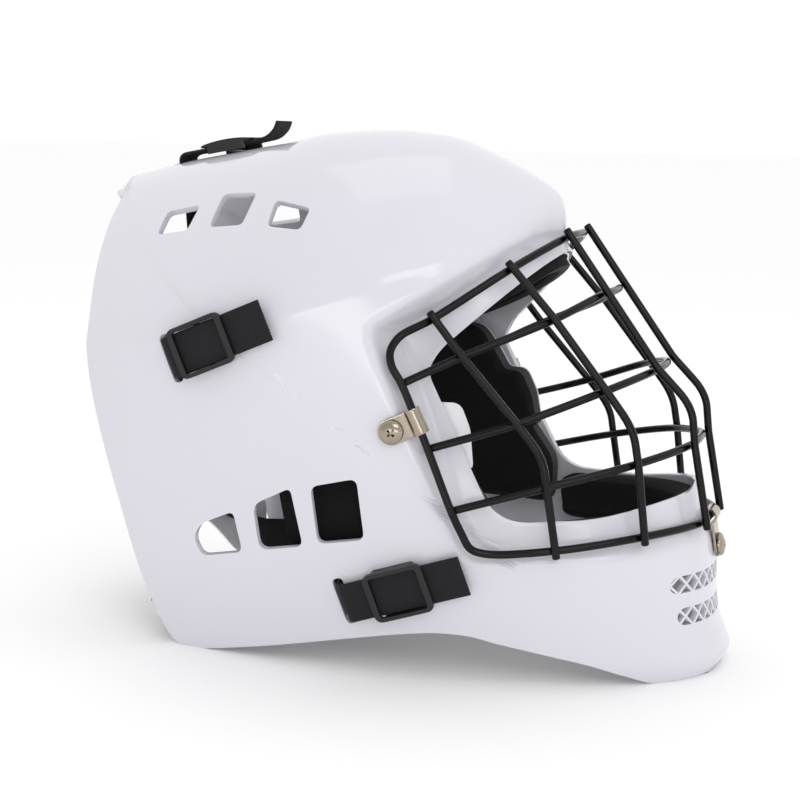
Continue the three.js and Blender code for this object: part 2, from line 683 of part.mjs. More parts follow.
// A pad with an outline drawn in side view, on one side of the head.
function sidePatch(corners, middle, side, near, far, count = 26, steps = 3) {
  const edge = roundedOutline(corners).getSpacedPoints(count).slice(0, count);
  const points = [];
  const grid = (depth) => {
    const first = points.length;
    points.push(inside(middle[0], middle[1], side, depth, true));
    for (let ring = 1; ring <= steps; ring += 1) {
      edge.forEach((p) => {
        const share = ring / steps;
        const [x, z] = [middle[0] + (p.x - middle[0]) * share, middle[1] + (p.y - middle[1]) * share];
        points.push(inside(x, z, side, depth, true));
      });
    }
    return (ring, i) => (ring === 0 ? first : first + 1 + (ring - 1) * count + (i % count));
  };
  const [front, back] = [grid(near), grid(far)];
  const triangles = [];
  for (let i = 0; i < count; i += 1) {
    triangles.push([front(0, 0), front(1, i), front(1, i + 1)], [back(0, 0), back(1, i + 1), back(1, i)]);
    for (let ring = 1; ring < steps; ring += 1) {
      triangles.push([front(ring, i), front(ring + 1, i), front(ring + 1, i + 1)], [front(ring, i), front(ring + 1, i + 1), front(ring, i + 1)]);
      triangles.push([back(ring, i), back(ring + 1, i + 1), back(ring + 1, i)], [back(ring, i), back(ring, i + 1), back(ring + 1, i + 1)]);
    }
    triangles.push([front(steps, i), back(steps, i), back(steps, i + 1)], [front(steps, i), back(steps, i + 1), front(steps, i + 1)]);
  }
  const geometry = makeGeometry(points, triangles);
  return isInsideOut(geometry) ? makeGeometry(points, triangles.map(([a, b, c]) => [c, b, a])) : geometry;
}

const sidePadOutline = [[-46, 57, 8], [-62, 146, 14], [10, 156, 8], [21, 141, 5], [25.5, 133, 2], [36, 133, 4],
  [41.5, 121, 3], [44, 103, 2], [41, 102.5, 1], [54, 84, 6], [53, 58, 8]];
// the board behind it stops above the lower holes
const sideBoardOutline = [[-58, 101, 8], [-62, 146, 14], [10, 156, 8], [21, 141, 5], [25.5, 133, 2], [36, 133, 4],
  [41.5, 121, 3], [44, 103, 2], [41, 102.5, 1], [47, 90, 6], [38, 88, 6], [4, 101, 8]];
const sidePadMiddle = [0, 105];
const sideBoardMiddle = [0, 124];

// A pad that runs round the front, from one side to the other.
function frontBand(startX, lowAt, highAt, near, far, level, columns = 12, rows = 3) {
  const grid = (depth) => {
    const lines = [];
    for (let r = 0; r <= rows; r += 1) {
      const line = [];
      for (let c = -columns; c <= columns; c += 1) {
        const share = Math.cos(((Math.PI / 2) * Math.abs(c)) / columns);
        const low = lowAt(share);
        const z = low + ((highAt(share) - low) * r) / rows;
        const x = startX + (along(frontLine, z) - 0.2 - startX) * share;
        const side = c < 0 ? -1 : 1;
        const middle = new THREE.Vector3(along(frontLine, z), 0, z).multiply(stretch);
        line.push(c === 0 ? middle.setX(middle.x - depth) : inside(x, z, side, depth, level));
      }
      lines.push(line);
    }
    return lines;
  };
  return closedSlab(grid(near), grid(far));
}

// Height of the shell over a point of the plan, above the crease.
function domeHeight(x, y) {
  let [low, high] = [along(creaseLine, x), along(crownLine, x)];
  for (let k = 0; k < 30; k += 1) {
    const middle = (low + high) / 2;
    if (halfWidth(x, middle) > Math.abs(y)) low = middle;
    else high = middle;
  }
  return low;
}

function crownPad(near, far) {
  const [rows, columns, back, front, half] = [10, 8, -104, 22, 34];
  const grid = (depth) => {
    const lines = [];
    for (let r = 0; r <= rows; r += 1) {
      const x = back + ((front - back) * r) / rows;
      const line = [];
      for (let c = 0; c <= columns; c += 1) {
        const y = half * ((2 * c) / columns - 1);
        const z = domeHeight(x, Math.max(Math.abs(y), 1));
        const p = inside(x, z, y < 0 ? -1 : 1, depth);
        if (c === columns / 2) p.y = 0;
        line.push(p);
      }
      lines.push(line);
    }
    return lines;
  };
  return closedSlab(grid(near), grid(far));
}

// ---- rear plate: a panel bent round the back of the head -------------------
const plateCentreX = -66;
const plateTop = [[0, 168], [30, 167], [48, 161], [58, 148], [63, 110], [67, 62], [74, 42]];
const plateBottom = [[0, 52], [20, 47], [40, 32], [56, 15], [66, 9], [74, 9]];
const padTop = [[0, 150], [30, 149], [40, 143], [46, 128], [50, 100], [54, 62], [58, 50]];
const padBottom = [[0, 66], [20, 61], [36, 48], [50, 36], [58, 38]];

function platePoint(arc, z, depth) {
  const angle = arc / plateRadius;
  const radius = plateRadius - depth;
  return new THREE.Vector3(plateCentreX * stretch.x - radius * Math.cos(angle),
    radius * Math.sin(angle) * stretch.y, z * stretch.z);
}

function bentPanel(highLine, lowLine, half, near, far, columns = 12, rows = 6) {
  const grid = (depth) => {
    const lines = [];
    for (let r = 0; r <= rows; r += 1) {
      const line = [];
      for (let c = -columns; c <= columns; c += 1) {
        const arc = (half * c) / columns;
        const [low, high] = [along(lowLine, Math.abs(arc)), along(highLine, Math.abs(arc))];
        line.push(platePoint(arc, low + ((high - low) * r) / rows, depth));
      }
      lines.push(line);
    }
    return lines;
  };
  return closedSlab(grid(near), grid(far));
}

// Where each strap goes through the plate: arc, height, and turn of its slot.
const plateSlots = {
  crown: [0, 159, 0],
  upper_left: [52, 138, 1],
  upper_right: [-52, 138, 1],
  lower_left: [65, 26, 1],
  lower_right: [-65, 26, 1],
};

function plateSlotFrame(name) {
  const [arc, z, upright] = plateSlots[name];
  const angle = arc / plateRadius;
  const out = new THREE.Vector3(-Math.cos(angle), Math.sin(angle), 0);
  const up = new THREE.Vector3(0, 0, 1);
  const level = new THREE.Vector3().crossVectors(up, out);
  const across = upright ? up : level;
  return { start: platePoint(arc, z, plateThickness / 2), out, across, along: new THREE.Vector3().crossVectors(across, out) };
}

function plateGeometry() {
  const cutters = Object.keys(plateSlots).map((name) => slotCutter(plateSlotFrame(name)));
  return cut(bentPanel(plateTop, plateBottom, 74, 0, plateThickness), cutters);
}

// ---- webbing and sliders ---------------------------------------------------
const middleBar = 1.6;                 // thickness of a slider's bar under the strap
const standOff = 0.5;                  // slider over the shell

function strapLevel(frame) {
  return frame.lift + standOff + middleBar + gap + strapThickness / 2;
}

// A flat band through stations of [point, direction across the band].
function ribbon(stations) {
  const [front, back] = [[], []];
  stations.forEach(([point, across], i) => {
    const before = stations[Math.max(i - 1, 0)][0];
    const after = stations[Math.min(i + 1, stations.length - 1)][0];
    const tangent = after.clone().sub(before).normalize();
    const flat = across.clone().addScaledVector(tangent, -across.dot(tangent)).normalize();
    const normal = new THREE.Vector3().crossVectors(tangent, flat);
    const corner = (wide, thick) => point.clone().addScaledVector(flat, (wide * strapWidth) / 2)
      .addScaledVector(normal, (thick * strapThickness) / 2);
    front.push([corner(-1, 1), corner(1, 1)]);
    back.push([corner(-1, -1), corner(1, -1)]);
  });
  return closedSlab(front, back);
}

function strapGeometry(name) {
  const frame = straps[name];
  const plateSlot = plateSlotFrame(name);
  const level = strapLevel(frame);
  const at = (u, o) => frame.start.clone().addScaledVector(frame.along, u).addScaledVector(frame.out, o);
  const stations = [];
  const tail = name === 'crown'
    ? [[frame.length + 3, level + 7.5], [frame.length + 1, level + 4], [frame.length - 2.5, level + 1.4], [frame.length - 6, level + 0.2]]
    : [[frame.length, level]];
  tail.forEach(([u, o]) => stations.push([at(u, o), frame.across]));
  [0.75, 0.5, 0.25].forEach((share) => stations.push([at(share * (frame.length - 8) + 5, level), frame.across]));
  const bend = 3.2;
  for (let k = 0; k <= 3; k += 1) {
    const angle = ((Math.PI / 2) * k) / 3;
    stations.push([at(bend - bend * Math.sin(angle), level - bend + bend * Math.cos(angle)), frame.across]);
  }
  const enter = at(0, -wall - 2);
  const leave = plateSlot.start.clone().addScaledVector(plateSlot.out, -plateThickness / 2 - 4);
  const pull = enter.distanceTo(leave) * 0.3;
  const path = new THREE.CubicBezierCurve3(enter, enter.clone().addScaledVector(frame.out, -pull * 0.5),
    leave.clone().addScaledVector(plateSlot.out, -pull * 0.8), leave);
  const acrossEnd = plateSlot.across.clone();
  if (acrossEnd.dot(frame.across) < 0) acrossEnd.negate();
  for (let k = 0; k <= 8; k += 1) {
    stations.push([path.getPoint(k / 8), frame.across.clone().lerp(acrossEnd, smooth(k / 8)).normalize()]);
  }
  stations.push([plateSlot.start.clone().addScaledVector(plateSlot.out, plateThickness / 2 + 3), acrossEnd]);
  return ribbon(stations);
}

// Distance from a slot to the middle of its slider.
const sliderAt = { crown: 28, upper_left: 21, upper_right: 21, lower_left: 29, lower_right: 29 };

function sliderGeometry(name) {
  const frame = straps[name];
  const low = frame.lift + standOff;
  const top = low + middleBar + 2 * gap + strapThickness;
  const high = top + sliderThickness;
  const railY = strapWidth / 2 + gap + sliderRail / 2;
  const pieces = [-1, 1].map((side) => box(sliderLength, sliderRail, high - low, 0, side * railY, (high + low) / 2));
  const barX = (sliderLength - sliderBar) / 2;
  [-1, 1].forEach((end) => pieces.push(box(sliderBar, 2 * railY, sliderThickness, end * barX, 0, (top + high) / 2)));
  pieces.push(box(sliderBar, 2 * railY, middleBar, 0, 0, low + middleBar / 2));
  const origin = frame.start.clone().addScaledVector(frame.along, sliderAt[name]);
  return placed(join(pieces), frame.along, frame.across, frame.out, origin);
}

// ---- assembly -----------------------------------------------------------
const mask = new THREE.Group();

const finishes = {
  gloss_white: new THREE.MeshStandardMaterial({ color: 0xf1f1f5, roughness: 0.22, metalness: 0 }),
  black_wire: new THREE.MeshStandardMaterial({ color: 0x141416, roughness: 0.3, metalness: 0.2 }),
  nickel: new THREE.MeshStandardMaterial({ color: 0xc9c2b8, roughness: 0.2, metalness: 1 }),
  foam: new THREE.MeshStandardMaterial({ color: 0x1e1e1f, roughness: 0.95, metalness: 0 }),
  webbing: new THREE.MeshStandardMaterial({ color: 0x1d1d20, roughness: 0.9, metalness: 0 }),
  black_plastic: new THREE.MeshStandardMaterial({ color: 0x303034, roughness: 0.5, metalness: 0 }),
};

function add(name, geometry, finish) {
  geometry.translate(-drawnMiddle * stretch.x, 0, 0);
  const mesh = new THREE.Mesh(geometry, finishes[finish]);
  mesh.name = name;
  mask.add(mesh);
}

add('shell', shellGeometry(), 'gloss_white');
add('cage_frame', frameWire(), 'black_wire');
['upper', 'middle', 'lower'].forEach((name, row) => add(`cage_row_${name}`, rowWire(row), 'black_wire'));
columnNames.forEach((name, column) => {
  add(`cage_upright_${name}_left`, uprightWire(column, 1), 'black_wire');
  add(`cage_upright_${name}_right`, uprightWire(column, -1), 'black_wire');
});

// The middle of the wire that a clip holds.
function heldWire(name) {
  if (name === 'chin') {
    const low = crossing(2, 5);
    const held = low.point.addScaledVector(low.out, -wireStep);
    return new THREE.Vector3(held.x + middleBow, 0, held.z + 0.3);
  }
  const share = (rowEnds[0][1] - 127) / (rowEnds[0][1] - rowEnds[1][1]);
  const x = rowEnds[0][0] + (rowEnds[1][0] - rowEnds[0][0]) * share;
  return new THREE.Vector3(x, name === 'side_left' ? sideWireY : -sideWireY, 127).multiply(stretch);
}

Object.entries(clipFrames).forEach(([name, frame]) => {
  add(`cage_clip_${name}`, clipGeometry(frame, heldWire(name)), 'nickel');
  add(`clip_screw_${name}`, screwGeometry(frame), 'nickel');
  add(`clip_nut_${name}`, nutGeometry(frame), 'nickel');
});

const onShell = wall + padStandOff;
const onBoard = onShell + padBoardThickness + gap;
const padRoom = shellBlank(wall + gap);
[['left', 1], ['right', -1]].forEach(([name, side]) => {
  add(`side_pad_board_${name}`, sidePatch(sideBoardOutline, sideBoardMiddle, side, onShell, onShell + padBoardThickness), 'gloss_white');
  add(`side_pad_${name}`, sidePatch(sidePadOutline, sidePadMiddle, side, onBoard, onBoard + padThickness), 'foam');
});
const chinPad = frontBand(58, () => 50, (share) => 75 + 10 * share, onShell, onShell + padThickness, false);
add('chin_pad', trimmed(chinPad, [padRoom, nutPocket(chinClipFrame)]), 'foam');
const foreheadPad = frontBand(5, (share) => 158 + 39 * share, (share) => 184 + 36 * share, onShell, onShell + padThickness, true);
add('forehead_pad', trimmed(foreheadPad, [padRoom]), 'foam');
add('crown_pad', trimmed(crownPad(onShell, onShell + crownPadThickness), [padRoom]), 'foam');

add('rear_plate', plateGeometry(), 'gloss_white');
add('rear_plate_pad', bentPanel(padTop, padBottom, 58, plateThickness + gap, plateThickness + gap + platePadThickness, 10, 5), 'foam');

Object.keys(straps).forEach((name) => {
  add(`${name}_strap`, strapGeometry(name), 'webbing');
  add(`${name}_slider`, sliderGeometry(name), 'black_plastic');
});

export default mask;
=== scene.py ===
# Goalie mask: the looks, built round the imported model. Metres, +X the way the
# wearer faces, +Z up. Shapes are worked out in millimetres and scaled at the end.
import math

import bmesh
import bpy
import numpy as np
from mathutils import Matrix, Vector, geometry


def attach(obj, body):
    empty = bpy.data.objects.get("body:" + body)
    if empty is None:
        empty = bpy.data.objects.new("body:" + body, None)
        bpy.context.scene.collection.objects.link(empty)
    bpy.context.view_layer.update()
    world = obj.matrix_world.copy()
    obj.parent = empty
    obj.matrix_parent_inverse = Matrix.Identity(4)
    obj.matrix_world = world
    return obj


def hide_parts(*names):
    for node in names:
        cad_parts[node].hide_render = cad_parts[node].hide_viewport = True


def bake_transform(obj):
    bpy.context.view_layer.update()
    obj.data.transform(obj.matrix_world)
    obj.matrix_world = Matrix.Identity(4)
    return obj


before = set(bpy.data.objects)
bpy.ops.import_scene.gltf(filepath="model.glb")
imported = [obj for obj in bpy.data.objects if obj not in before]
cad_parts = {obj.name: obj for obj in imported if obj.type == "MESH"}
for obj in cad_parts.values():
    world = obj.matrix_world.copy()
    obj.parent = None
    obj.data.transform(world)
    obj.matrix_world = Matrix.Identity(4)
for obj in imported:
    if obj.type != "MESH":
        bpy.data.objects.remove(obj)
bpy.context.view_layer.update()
scene = bpy.context.scene
metresPerMm = 0.001
middleShift = 4.0  # the drawing's middle sits 4 mm behind the origin


def say(text):
    print("mask:", text, flush=True)


# camera and studio
camera = {"lens": 72, "distance": 0.830, "azimuth": 18.8, "elevation": 9.0, "noseUp": 1.2,
          "target": (-0.013, 0.0, 0.120)}


def addCamera(spec):
    a, e = math.radians(spec["azimuth"]), math.radians(spec["elevation"])
    right = Vector((math.cos(a), math.sin(a), 0))
    ahead = Vector((-math.sin(a) * math.cos(e), math.cos(a) * math.cos(e), -math.sin(e)))
    up = right.cross(ahead)
    nod = Matrix.Rotation(-math.radians(spec["noseUp"]), 3, "Y")
    place = Vector(spec["target"]) + nod @ (-spec["distance"] * ahead)
    turn = Matrix((nod @ right, nod @ up, nod @ -ahead)).transposed()
    data = bpy.data.cameras.new("camera")
    data.lens = spec["lens"]
    data.sensor_width = 36
    holder = bpy.data.objects.new("camera", data)
    holder.matrix_world = Matrix.Translation(place) @ turn.to_4x4()
    scene.collection.objects.link(holder)
    scene.camera = holder


studio = {"world": 1.05, "nearWorld": 0.72, "dimFrom": 0.8, "dimTo": 0.1, "keyPower": 4.2, "fillPower": 2.0, "topPower": 1.2, "floorHex": "#ffffff"}


def addLight(name, place, target, size, power, hexColour="#ffffff"):
    data = bpy.data.lights.new(name, "AREA")
    data.shape = "RECTANGLE"
    data.size, data.size_y = size
    data.energy = power
    data.color = linearColour(hexColour)[:3]
    lamp = bpy.data.objects.new(name, data)
    lamp.matrix_world = Matrix.Translation(place) @ (Vector(target) - Vector(place)).to_track_quat("-Z", "Y").to_matrix().to_4x4()
    scene.collection.objects.link(lamp)
    return lamp


def linearColour(hexText):
    parts = [int(hexText[i:i + 2], 16) / 255 for i in (1, 3, 5)]
    return (*[p / 12.92 if p <= 0.04045 else ((p + 0.055) / 1.055) ** 2.4 for p in parts], 1.0)


def addNode(tree, kind, inputs=None, **settings):
    """One node with its settings and its inputs, each a value or another node's output."""
    node = tree.nodes.new(kind)
    for name, value in settings.items():
        setattr(node, name, value)
    for name, value in (inputs or {}).items():
        if isinstance(value, bpy.types.NodeSocket):
            tree.links.new(value, node.inputs[name])
        else:
            node.inputs[name].default_value = value
    return node


def newMaterial(name):
    material = bpy.data.materials.new(name)
    material.use_nodes = True
    tree = material.node_tree
    shader = tree.nodes["Principled BSDF"]
    place = addNode(tree, "ShaderNodeTexCoord").outputs["Object"]
    return material, tree, shader, place


def tintBetween(tree, shader, factor, lowHex, highHex):
    ramp = addNode(tree, "ShaderNodeValToRGB", {"Fac": factor})
    ramp.color_ramp.elements[0].color = linearColour(lowHex)
    ramp.color_ramp.elements[1].color = linearColour(highHex)
    tree.links.new(ramp.outputs["Color"], shader.inputs["Base Color"])
    return ramp


def roughBetween(tree, shader, factor, low, high):
    spread = addNode(tree, "ShaderNodeMapRange", {"Value": factor, "To Min": low, "To Max": high})
    tree.links.new(spread.outputs["Result"], shader.inputs["Roughness"])


def bumpFrom(tree, shader, height, strength, distance):
    bump = addNode(tree, "ShaderNodeBump", {"Height": height, "Strength": strength, "Distance": distance})
    tree.links.new(bump.outputs["Normal"], shader.inputs["Normal"])
    return bump


# Injection-moulded polypropylene, polished mould: white with a faint cool cast,
# soft long highlights and a barely uneven skin.
def mouldedWhite(name, baseLow, baseHigh, roughLow, roughHigh):
    material, tree, shader, place = newMaterial(name)
    clouds = addNode(tree, "ShaderNodeTexNoise", {"Vector": place, "Scale": 14.0, "Detail": 4.0})
    tintBetween(tree, shader, clouds.outputs["Fac"], baseLow, baseHigh)
    roughBetween(tree, shader, clouds.outputs["Fac"], roughLow, roughHigh)
    # the skin's waviness is about 9 mm from crest to crest
    skin = addNode(tree, "ShaderNodeTexNoise", {"Vector": place, "Scale": 110.0, "Detail": 2.0})
    bumpFrom(tree, shader, skin.outputs["Fac"], 0.04, 0.0006)
    shader.inputs["IOR"].default_value = 1.49
    shader.inputs["Coat Weight"].default_value = 0.25
    shader.inputs["Coat Roughness"].default_value = 0.06
    return material


# Steel wire dipped in black vinyl: deep black, wet-looking, slightly uneven.
def dippedBlack():
    material, tree, shader, place = newMaterial("vinylDippedWire")
    flow = addNode(tree, "ShaderNodeTexNoise", {"Vector": place, "Scale": 260.0, "Detail": 3.0})
    tintBetween(tree, shader, flow.outputs["Fac"], "#020203", "#070709")
    roughBetween(tree, shader, flow.outputs["Fac"], 0.14, 0.24)
    bumpFrom(tree, shader, flow.outputs["Fac"], 0.12, 0.0004)
    shader.inputs["IOR"].default_value = 1.42
    shader.inputs["Specular IOR Level"].default_value = 0.3
    shader.inputs["Coat Weight"].default_value = 0.05
    shader.inputs["Coat Roughness"].default_value = 0.08
    return material


# Nickel-plated steel, barrel polished: warm grey mirror with fine rub marks.
def platedNickel():
    material, tree, shader, place = newMaterial("nickelPlate")
    rub = addNode(tree, "ShaderNodeTexNoise", {"Vector": place, "Scale": 900.0, "Detail": 4.0, "Distortion": 1.5})
    tintBetween(tree, shader, rub.outputs["Fac"], "#8f8578", "#b5aa9c")
    roughBetween(tree, shader, rub.outputs["Fac"], 0.10, 0.24)
    bumpFrom(tree, shader, rub.outputs["Fac"], 0.08, 0.0001)
    shader.inputs["Metallic"].default_value = 1.0
    return material


# Closed-cell EVA foam with a cut face: matt, near black, fine open pores.
def evaFoam(name, lowHex, highHex, poreSize):
    material, tree, shader, place = newMaterial(name)
    pores = addNode(tree, "ShaderNodeTexVoronoi", {"Vector": place, "Scale": 1 / poreSize})
    grain = addNode(tree, "ShaderNodeTexNoise", {"Vector": place, "Scale": 700.0, "Detail": 4.0})
    tintBetween(tree, shader, grain.outputs["Fac"], lowHex, highHex)
    roughBetween(tree, shader, grain.outputs["Fac"], 0.85, 1.0)
    bumpFrom(tree, shader, pores.outputs["Distance"], 0.5, 0.0003)
    shader.inputs["IOR"].default_value = 1.4
    return material


# Woven elastic: black polyester twill over rubber threads. The twill's ribs are
# in the mesh; this adds each rib's own threads, 0.35 mm apart, along the UV map.
def wovenElastic():
    material, tree, shader, place = newMaterial("wovenElastic")
    cloth = addNode(tree, "ShaderNodeUVMap", uv_map="weave").outputs["UV"]
    threads = addNode(tree, "ShaderNodeTexWave", {"Vector": cloth, "Scale": 0.9, "Distortion": 1.2, "Detail": 2.0},
                      bands_direction="DIAGONAL")
    fluff = addNode(tree, "ShaderNodeTexNoise", {"Vector": cloth, "Scale": 2.5, "Detail": 5.0})
    blend = addNode(tree, "ShaderNodeMath", {0: threads.outputs["Fac"], 1: fluff.outputs["Fac"]}, operation="MULTIPLY")
    tintBetween(tree, shader, blend.outputs["Value"], "#060607", "#323238")
    bumpFrom(tree, shader, threads.outputs["Fac"], 0.35, 0.0002)
    shader.inputs["Roughness"].default_value = 0.8
    shader.inputs["Specular IOR Level"].default_value = 0.35
    shader.inputs["Sheen Weight"].default_value = 0.06
    shader.inputs["Sheen Roughness"].default_value = 0.4
    return material


# Acetal moulded in a spark-eroded mould: dark grey, satin, with a fine grain.
def satinAcetal():
    material, tree, shader, place = newMaterial("satinAcetal")
    grain = addNode(tree, "ShaderNodeTexNoise", {"Vector": place, "Scale": 2600.0, "Detail": 2.0})
    tintBetween(tree, shader, grain.outputs["Fac"], "#0c0c0e", "#17181b")
    roughBetween(tree, shader, grain.outputs["Fac"], 0.34, 0.48)
    bumpFrom(tree, shader, grain.outputs["Fac"], 0.2, 0.00008)
    shader.inputs["IOR"].default_value = 1.48
    return material


finish = {
    "shell": mouldedWhite("glossShell", "#d3d2da", "#d9d8e0", 0.10, 0.16),
    "plate": mouldedWhite("platePlastic", "#e9e9ee", "#f1f1f5", 0.3, 0.4),
    "wire": dippedBlack(),
    "nickel": platedNickel(),
    "foam": evaFoam("evaFoam", "#0a0a0b", "#131314", 0.0011),
    "cutFoam": evaFoam("evaFoamCutEdge", "#3a3a3b", "#4a4a4b", 0.0011),
    "webbing": wovenElastic(),
    "acetal": satinAcetal(),
}
say("materials ready")

floor = bpy.data.meshes.new("floor")
floor.from_pydata([(-30, -30, 0), (30, -30, 0), (30, 30, 0), (-30, 30, 0)], [], [(0, 1, 2, 3)])
floorPiece = bpy.data.objects.new("floor", floor)
scene.collection.objects.link(floorPiece)
floorMaterial, floorTree, floorShader, floorPlace = newMaterial("paleFloor")
floorShader.inputs["Base Color"].default_value = linearColour(studio["floorHex"])
floorShader.inputs["Roughness"].default_value = 0.9
floor.materials.append(floorMaterial)

addCamera(camera)
world = bpy.data.worlds.new("studio")
world.use_nodes = True
world.node_tree.nodes["Background"].inputs["Color"].default_value = (1, 1, 1, 1)
# bright all round behind the mask, dimmer from the camera's side so that the gloss has something to show
around = addNode(world.node_tree, "ShaderNodeTexCoord").outputs["Normal"]
facing = addNode(world.node_tree, "ShaderNodeSeparateXYZ", {"Vector": around})
glow = addNode(world.node_tree, "ShaderNodeMapRange", {"Value": facing.outputs["Y"], "From Min": studio["dimFrom"], "From Max": studio["dimTo"],
                                                       "To Min": studio["nearWorld"], "To Max": studio["world"]})
world.node_tree.links.new(glow.outputs["Result"], world.node_tree.nodes["Background"].inputs["Strength"])
scene.world = world
scene.view_settings.view_transform = "Standard"
addLight("keyLight", (0.9, -1.3, 1.0), (0, 0, 0.13), (0.9, 0.7), studio["keyPower"])
addLight("fillLight", (0.4, -1.5, 0.12), (0.02, 0, 0.06), (1.4, 0.2), studio["fillPower"])
addLight("topLight", (-0.1, 0.2, 1.5), (0, 0, 0.2), (0.8, 0.8), studio["topPower"])


# numbers along a smooth curve through points (input, output)
def readCurve(points, at):
    table = np.array(points, float)
    xs, ys = table[:, 0], table[:, 1]
    at = np.asarray(at, float)
    i = np.searchsorted(xs[1:-1], at, side="left")
    last = len(xs) - 1
    ahead = np.minimum(np.arange(last + 1) + 1, last)
    behind = np.maximum(np.arange(last + 1) - 1, 0)
    slopes = (ys[ahead] - ys[behind]) / (xs[ahead] - xs[behind])
    step = xs[i + 1] - xs[i]
    t = np.clip((at - xs[i]) / step, 0, 1)
    rise = ys[i + 1] - ys[i]
    m0, m1 = slopes[i] * step, slopes[i + 1] * step
    return ys[i] + t * (m0 + t * (3 * rise - 2 * m0 - m1 + t * (m0 + m1 - 2 * rise)))


def easeIn(value):
    t = np.clip(value, 0, 1)
    return t * t * (3 - 2 * t)


# the shell in side view, millimetres: x towards the face, z up
shell = {"wall": 3.2, "widestX": -60, "halfWide": 102, "lowerTuck": 24, "domeKink": 0.18, "rearTaper": 0.2,
         "stepDepth": 17, "meshSize": 2.4, "rimRound": 0.7, "centre": (-25.0, 130.0)}
crownLine = [(-165, 232.7), (-136, 239.8), (-100, 246.8), (-79, 250.8), (-57, 255.8), (-30, 258), (-11, 257.8),
             (12, 254.5), (36, 244.5), (54.5, 235), (64, 227.5), (66.6, 221)]
frontLine = [(0, 152), (1, 153), (8, 157), (13.6, 155.6), (25, 151), (42, 149), (56, 148.4), (66, 146.4),
             (75, 142.6), (95, 137), (130, 118), (165, 95), (195, 74), (205, 67.8), (221, 66.6)]
bottomLine = [(-98, -1.2), (-55, 7), (-7, 17.2), (25, 22.6), (44, 22.6), (57.5, 19.7), (78, 15.5), (101, 10.2),
              (115, 5.2), (133, -1.2), (153, 1)]
rearLine = [(-1.2, -98), (0.8, -108), (8, -114), (33, -125), (75, -136.7), (108, -146), (132, -151.5),
            (149.6, -153.5), (165, -153.5), (190, -156), (211, -157.5), (222, -158), (232.7, -165)]
creaseLine = [(-160, 149.5), (-105, 157), (-55, 168), (0, 188), (45, 204), (70, 208)]


def fullStep(z):
    return shell["stepDepth"] * (0.4 + 0.6 * easeIn((z - 60) / 100))


def stepDepth(x, z):
    fromSide = ((x + 2) * 98 + (z - 160) * 43) / 107
    fromTop = ((x - 1) * 52 - (z - 172) * 74) / 90.4
    fromBottom = (z - 59 - 0.06 * (x - 50)) * 1.4
    # the lesser of the three, blended over a few millimetres so that the corners stay soft
    blend = 2.2
    near = -blend * np.log(sum(np.exp(-np.clip(d, -60, 60) / blend) for d in (fromSide, fromTop, fromBottom)))
    return fullStep(z) * easeIn((near + 0.8) / 11)


def halfWidth(x, z, level=False):
    crease = readCurve(creaseLine, x)
    front = readCurve(frontLine, z)
    widest = shell["widestX"]
    ahead = np.clip((x - widest) / (front - widest), 0, 1)
    power = 2.4 - 0.5 * easeIn((z - 60) / 120)
    plan = np.maximum(1 - ahead ** power, 0) ** (1 / power)
    up = np.clip((z - crease) / (readCurve(crownLine, x) - crease), 0, 1)
    down = np.clip((crease - z) / crease, 0, 1)
    rib = (1 - shell["domeKink"] * up) * np.sqrt(1 - up * up) - (shell["lowerTuck"] / shell["halfWide"]) * down ** 1.6
    behind = np.clip((widest - x) / 95, 0, 1.2)
    width = shell["halfWide"] * plan * rib * (1 - shell["rearTaper"] * behind ** 2.2)
    return width * (1 - (fullStep(z) if level else stepDepth(x, z)) / 88)


def surfaceNormals(x, z, side, level=False):
    d = 0.4
    inX = np.where(x > shell["widestX"], -d, d)
    inZ = np.where(z > 120, -d, d)
    w = halfWidth(x, z, level)
    slopeX = (halfWidth(x + inX, z, level) - w) / inX
    slopeZ = (halfWidth(x, z + inZ, level) - w) / inZ
    n = np.stack([-slopeX, np.full_like(w, side), -slopeZ], -1)
    return n / np.linalg.norm(n, axis=-1, keepdims=True)


def underSurface(x, z, side, depth, level=False):
    x, z = np.asarray(x, float), np.asarray(z, float)
    point = np.stack([x, side * halfWidth(x, z, level), z], -1)
    return point - surfaceNormals(x, z, side, level) * np.asarray(depth)[..., None]


# The side view unrolled flat, so that the dome and the chin keep even faces.
sheetCentre = np.array(shell["centre"])


def outlineTable():
    runs = []
    for line, low, high, swap, closed in ((crownLine, -165, 66.6, False, 1), (frontLine, 221, 1, True, 1),
                                          (bottomLine, 153, -98, False, 0), (rearLine, -1.2, 232.7, True, 0)):
        at = np.linspace(low, high, 400)
        other = readCurve(line, at)
        points = np.stack([other, at] if swap else [at, other], -1)
        away = points - sheetCentre
        runs.append(np.stack([np.arctan2(away[:, 1], away[:, 0]), np.hypot(away[:, 0], away[:, 1]),
                              np.full(400, closed)], -1))
    table = np.concatenate(runs)
    return table[np.argsort(table[:, 0])]


outline = outlineTable()
closedAngles = outline[outline[:, 2] == 1, 0]


def rimRadius(angle):
    return np.interp(angle, outline[:, 0], outline[:, 1], period=2 * math.pi)


def closedShare(angle):
    """1 where the two halves meet, falling to 0 a few degrees into the hem and the rear edge."""
    low, high = closedAngles.min(), closedAngles.max()
    beyond = np.maximum(np.maximum(low - angle, angle - high), 0)
    return 1 - easeIn(beyond / 0.1)


def reachOf(share, angle):
    w = closedShare(angle)
    return (1 - w) * share + w * np.sin(share * math.pi / 2)


def sheetToSide(q):
    away = q - sheetCentre
    angle = np.arctan2(away[:, 1], away[:, 0])
    far = rimRadius(angle)
    share = np.clip(np.hypot(away[:, 0], away[:, 1]) / (far * math.pi / 2), 0, 1)
    reach = reachOf(share, angle) * far
    return sheetCentre + np.stack([np.cos(angle), np.sin(angle)], -1) * reach[:, None]


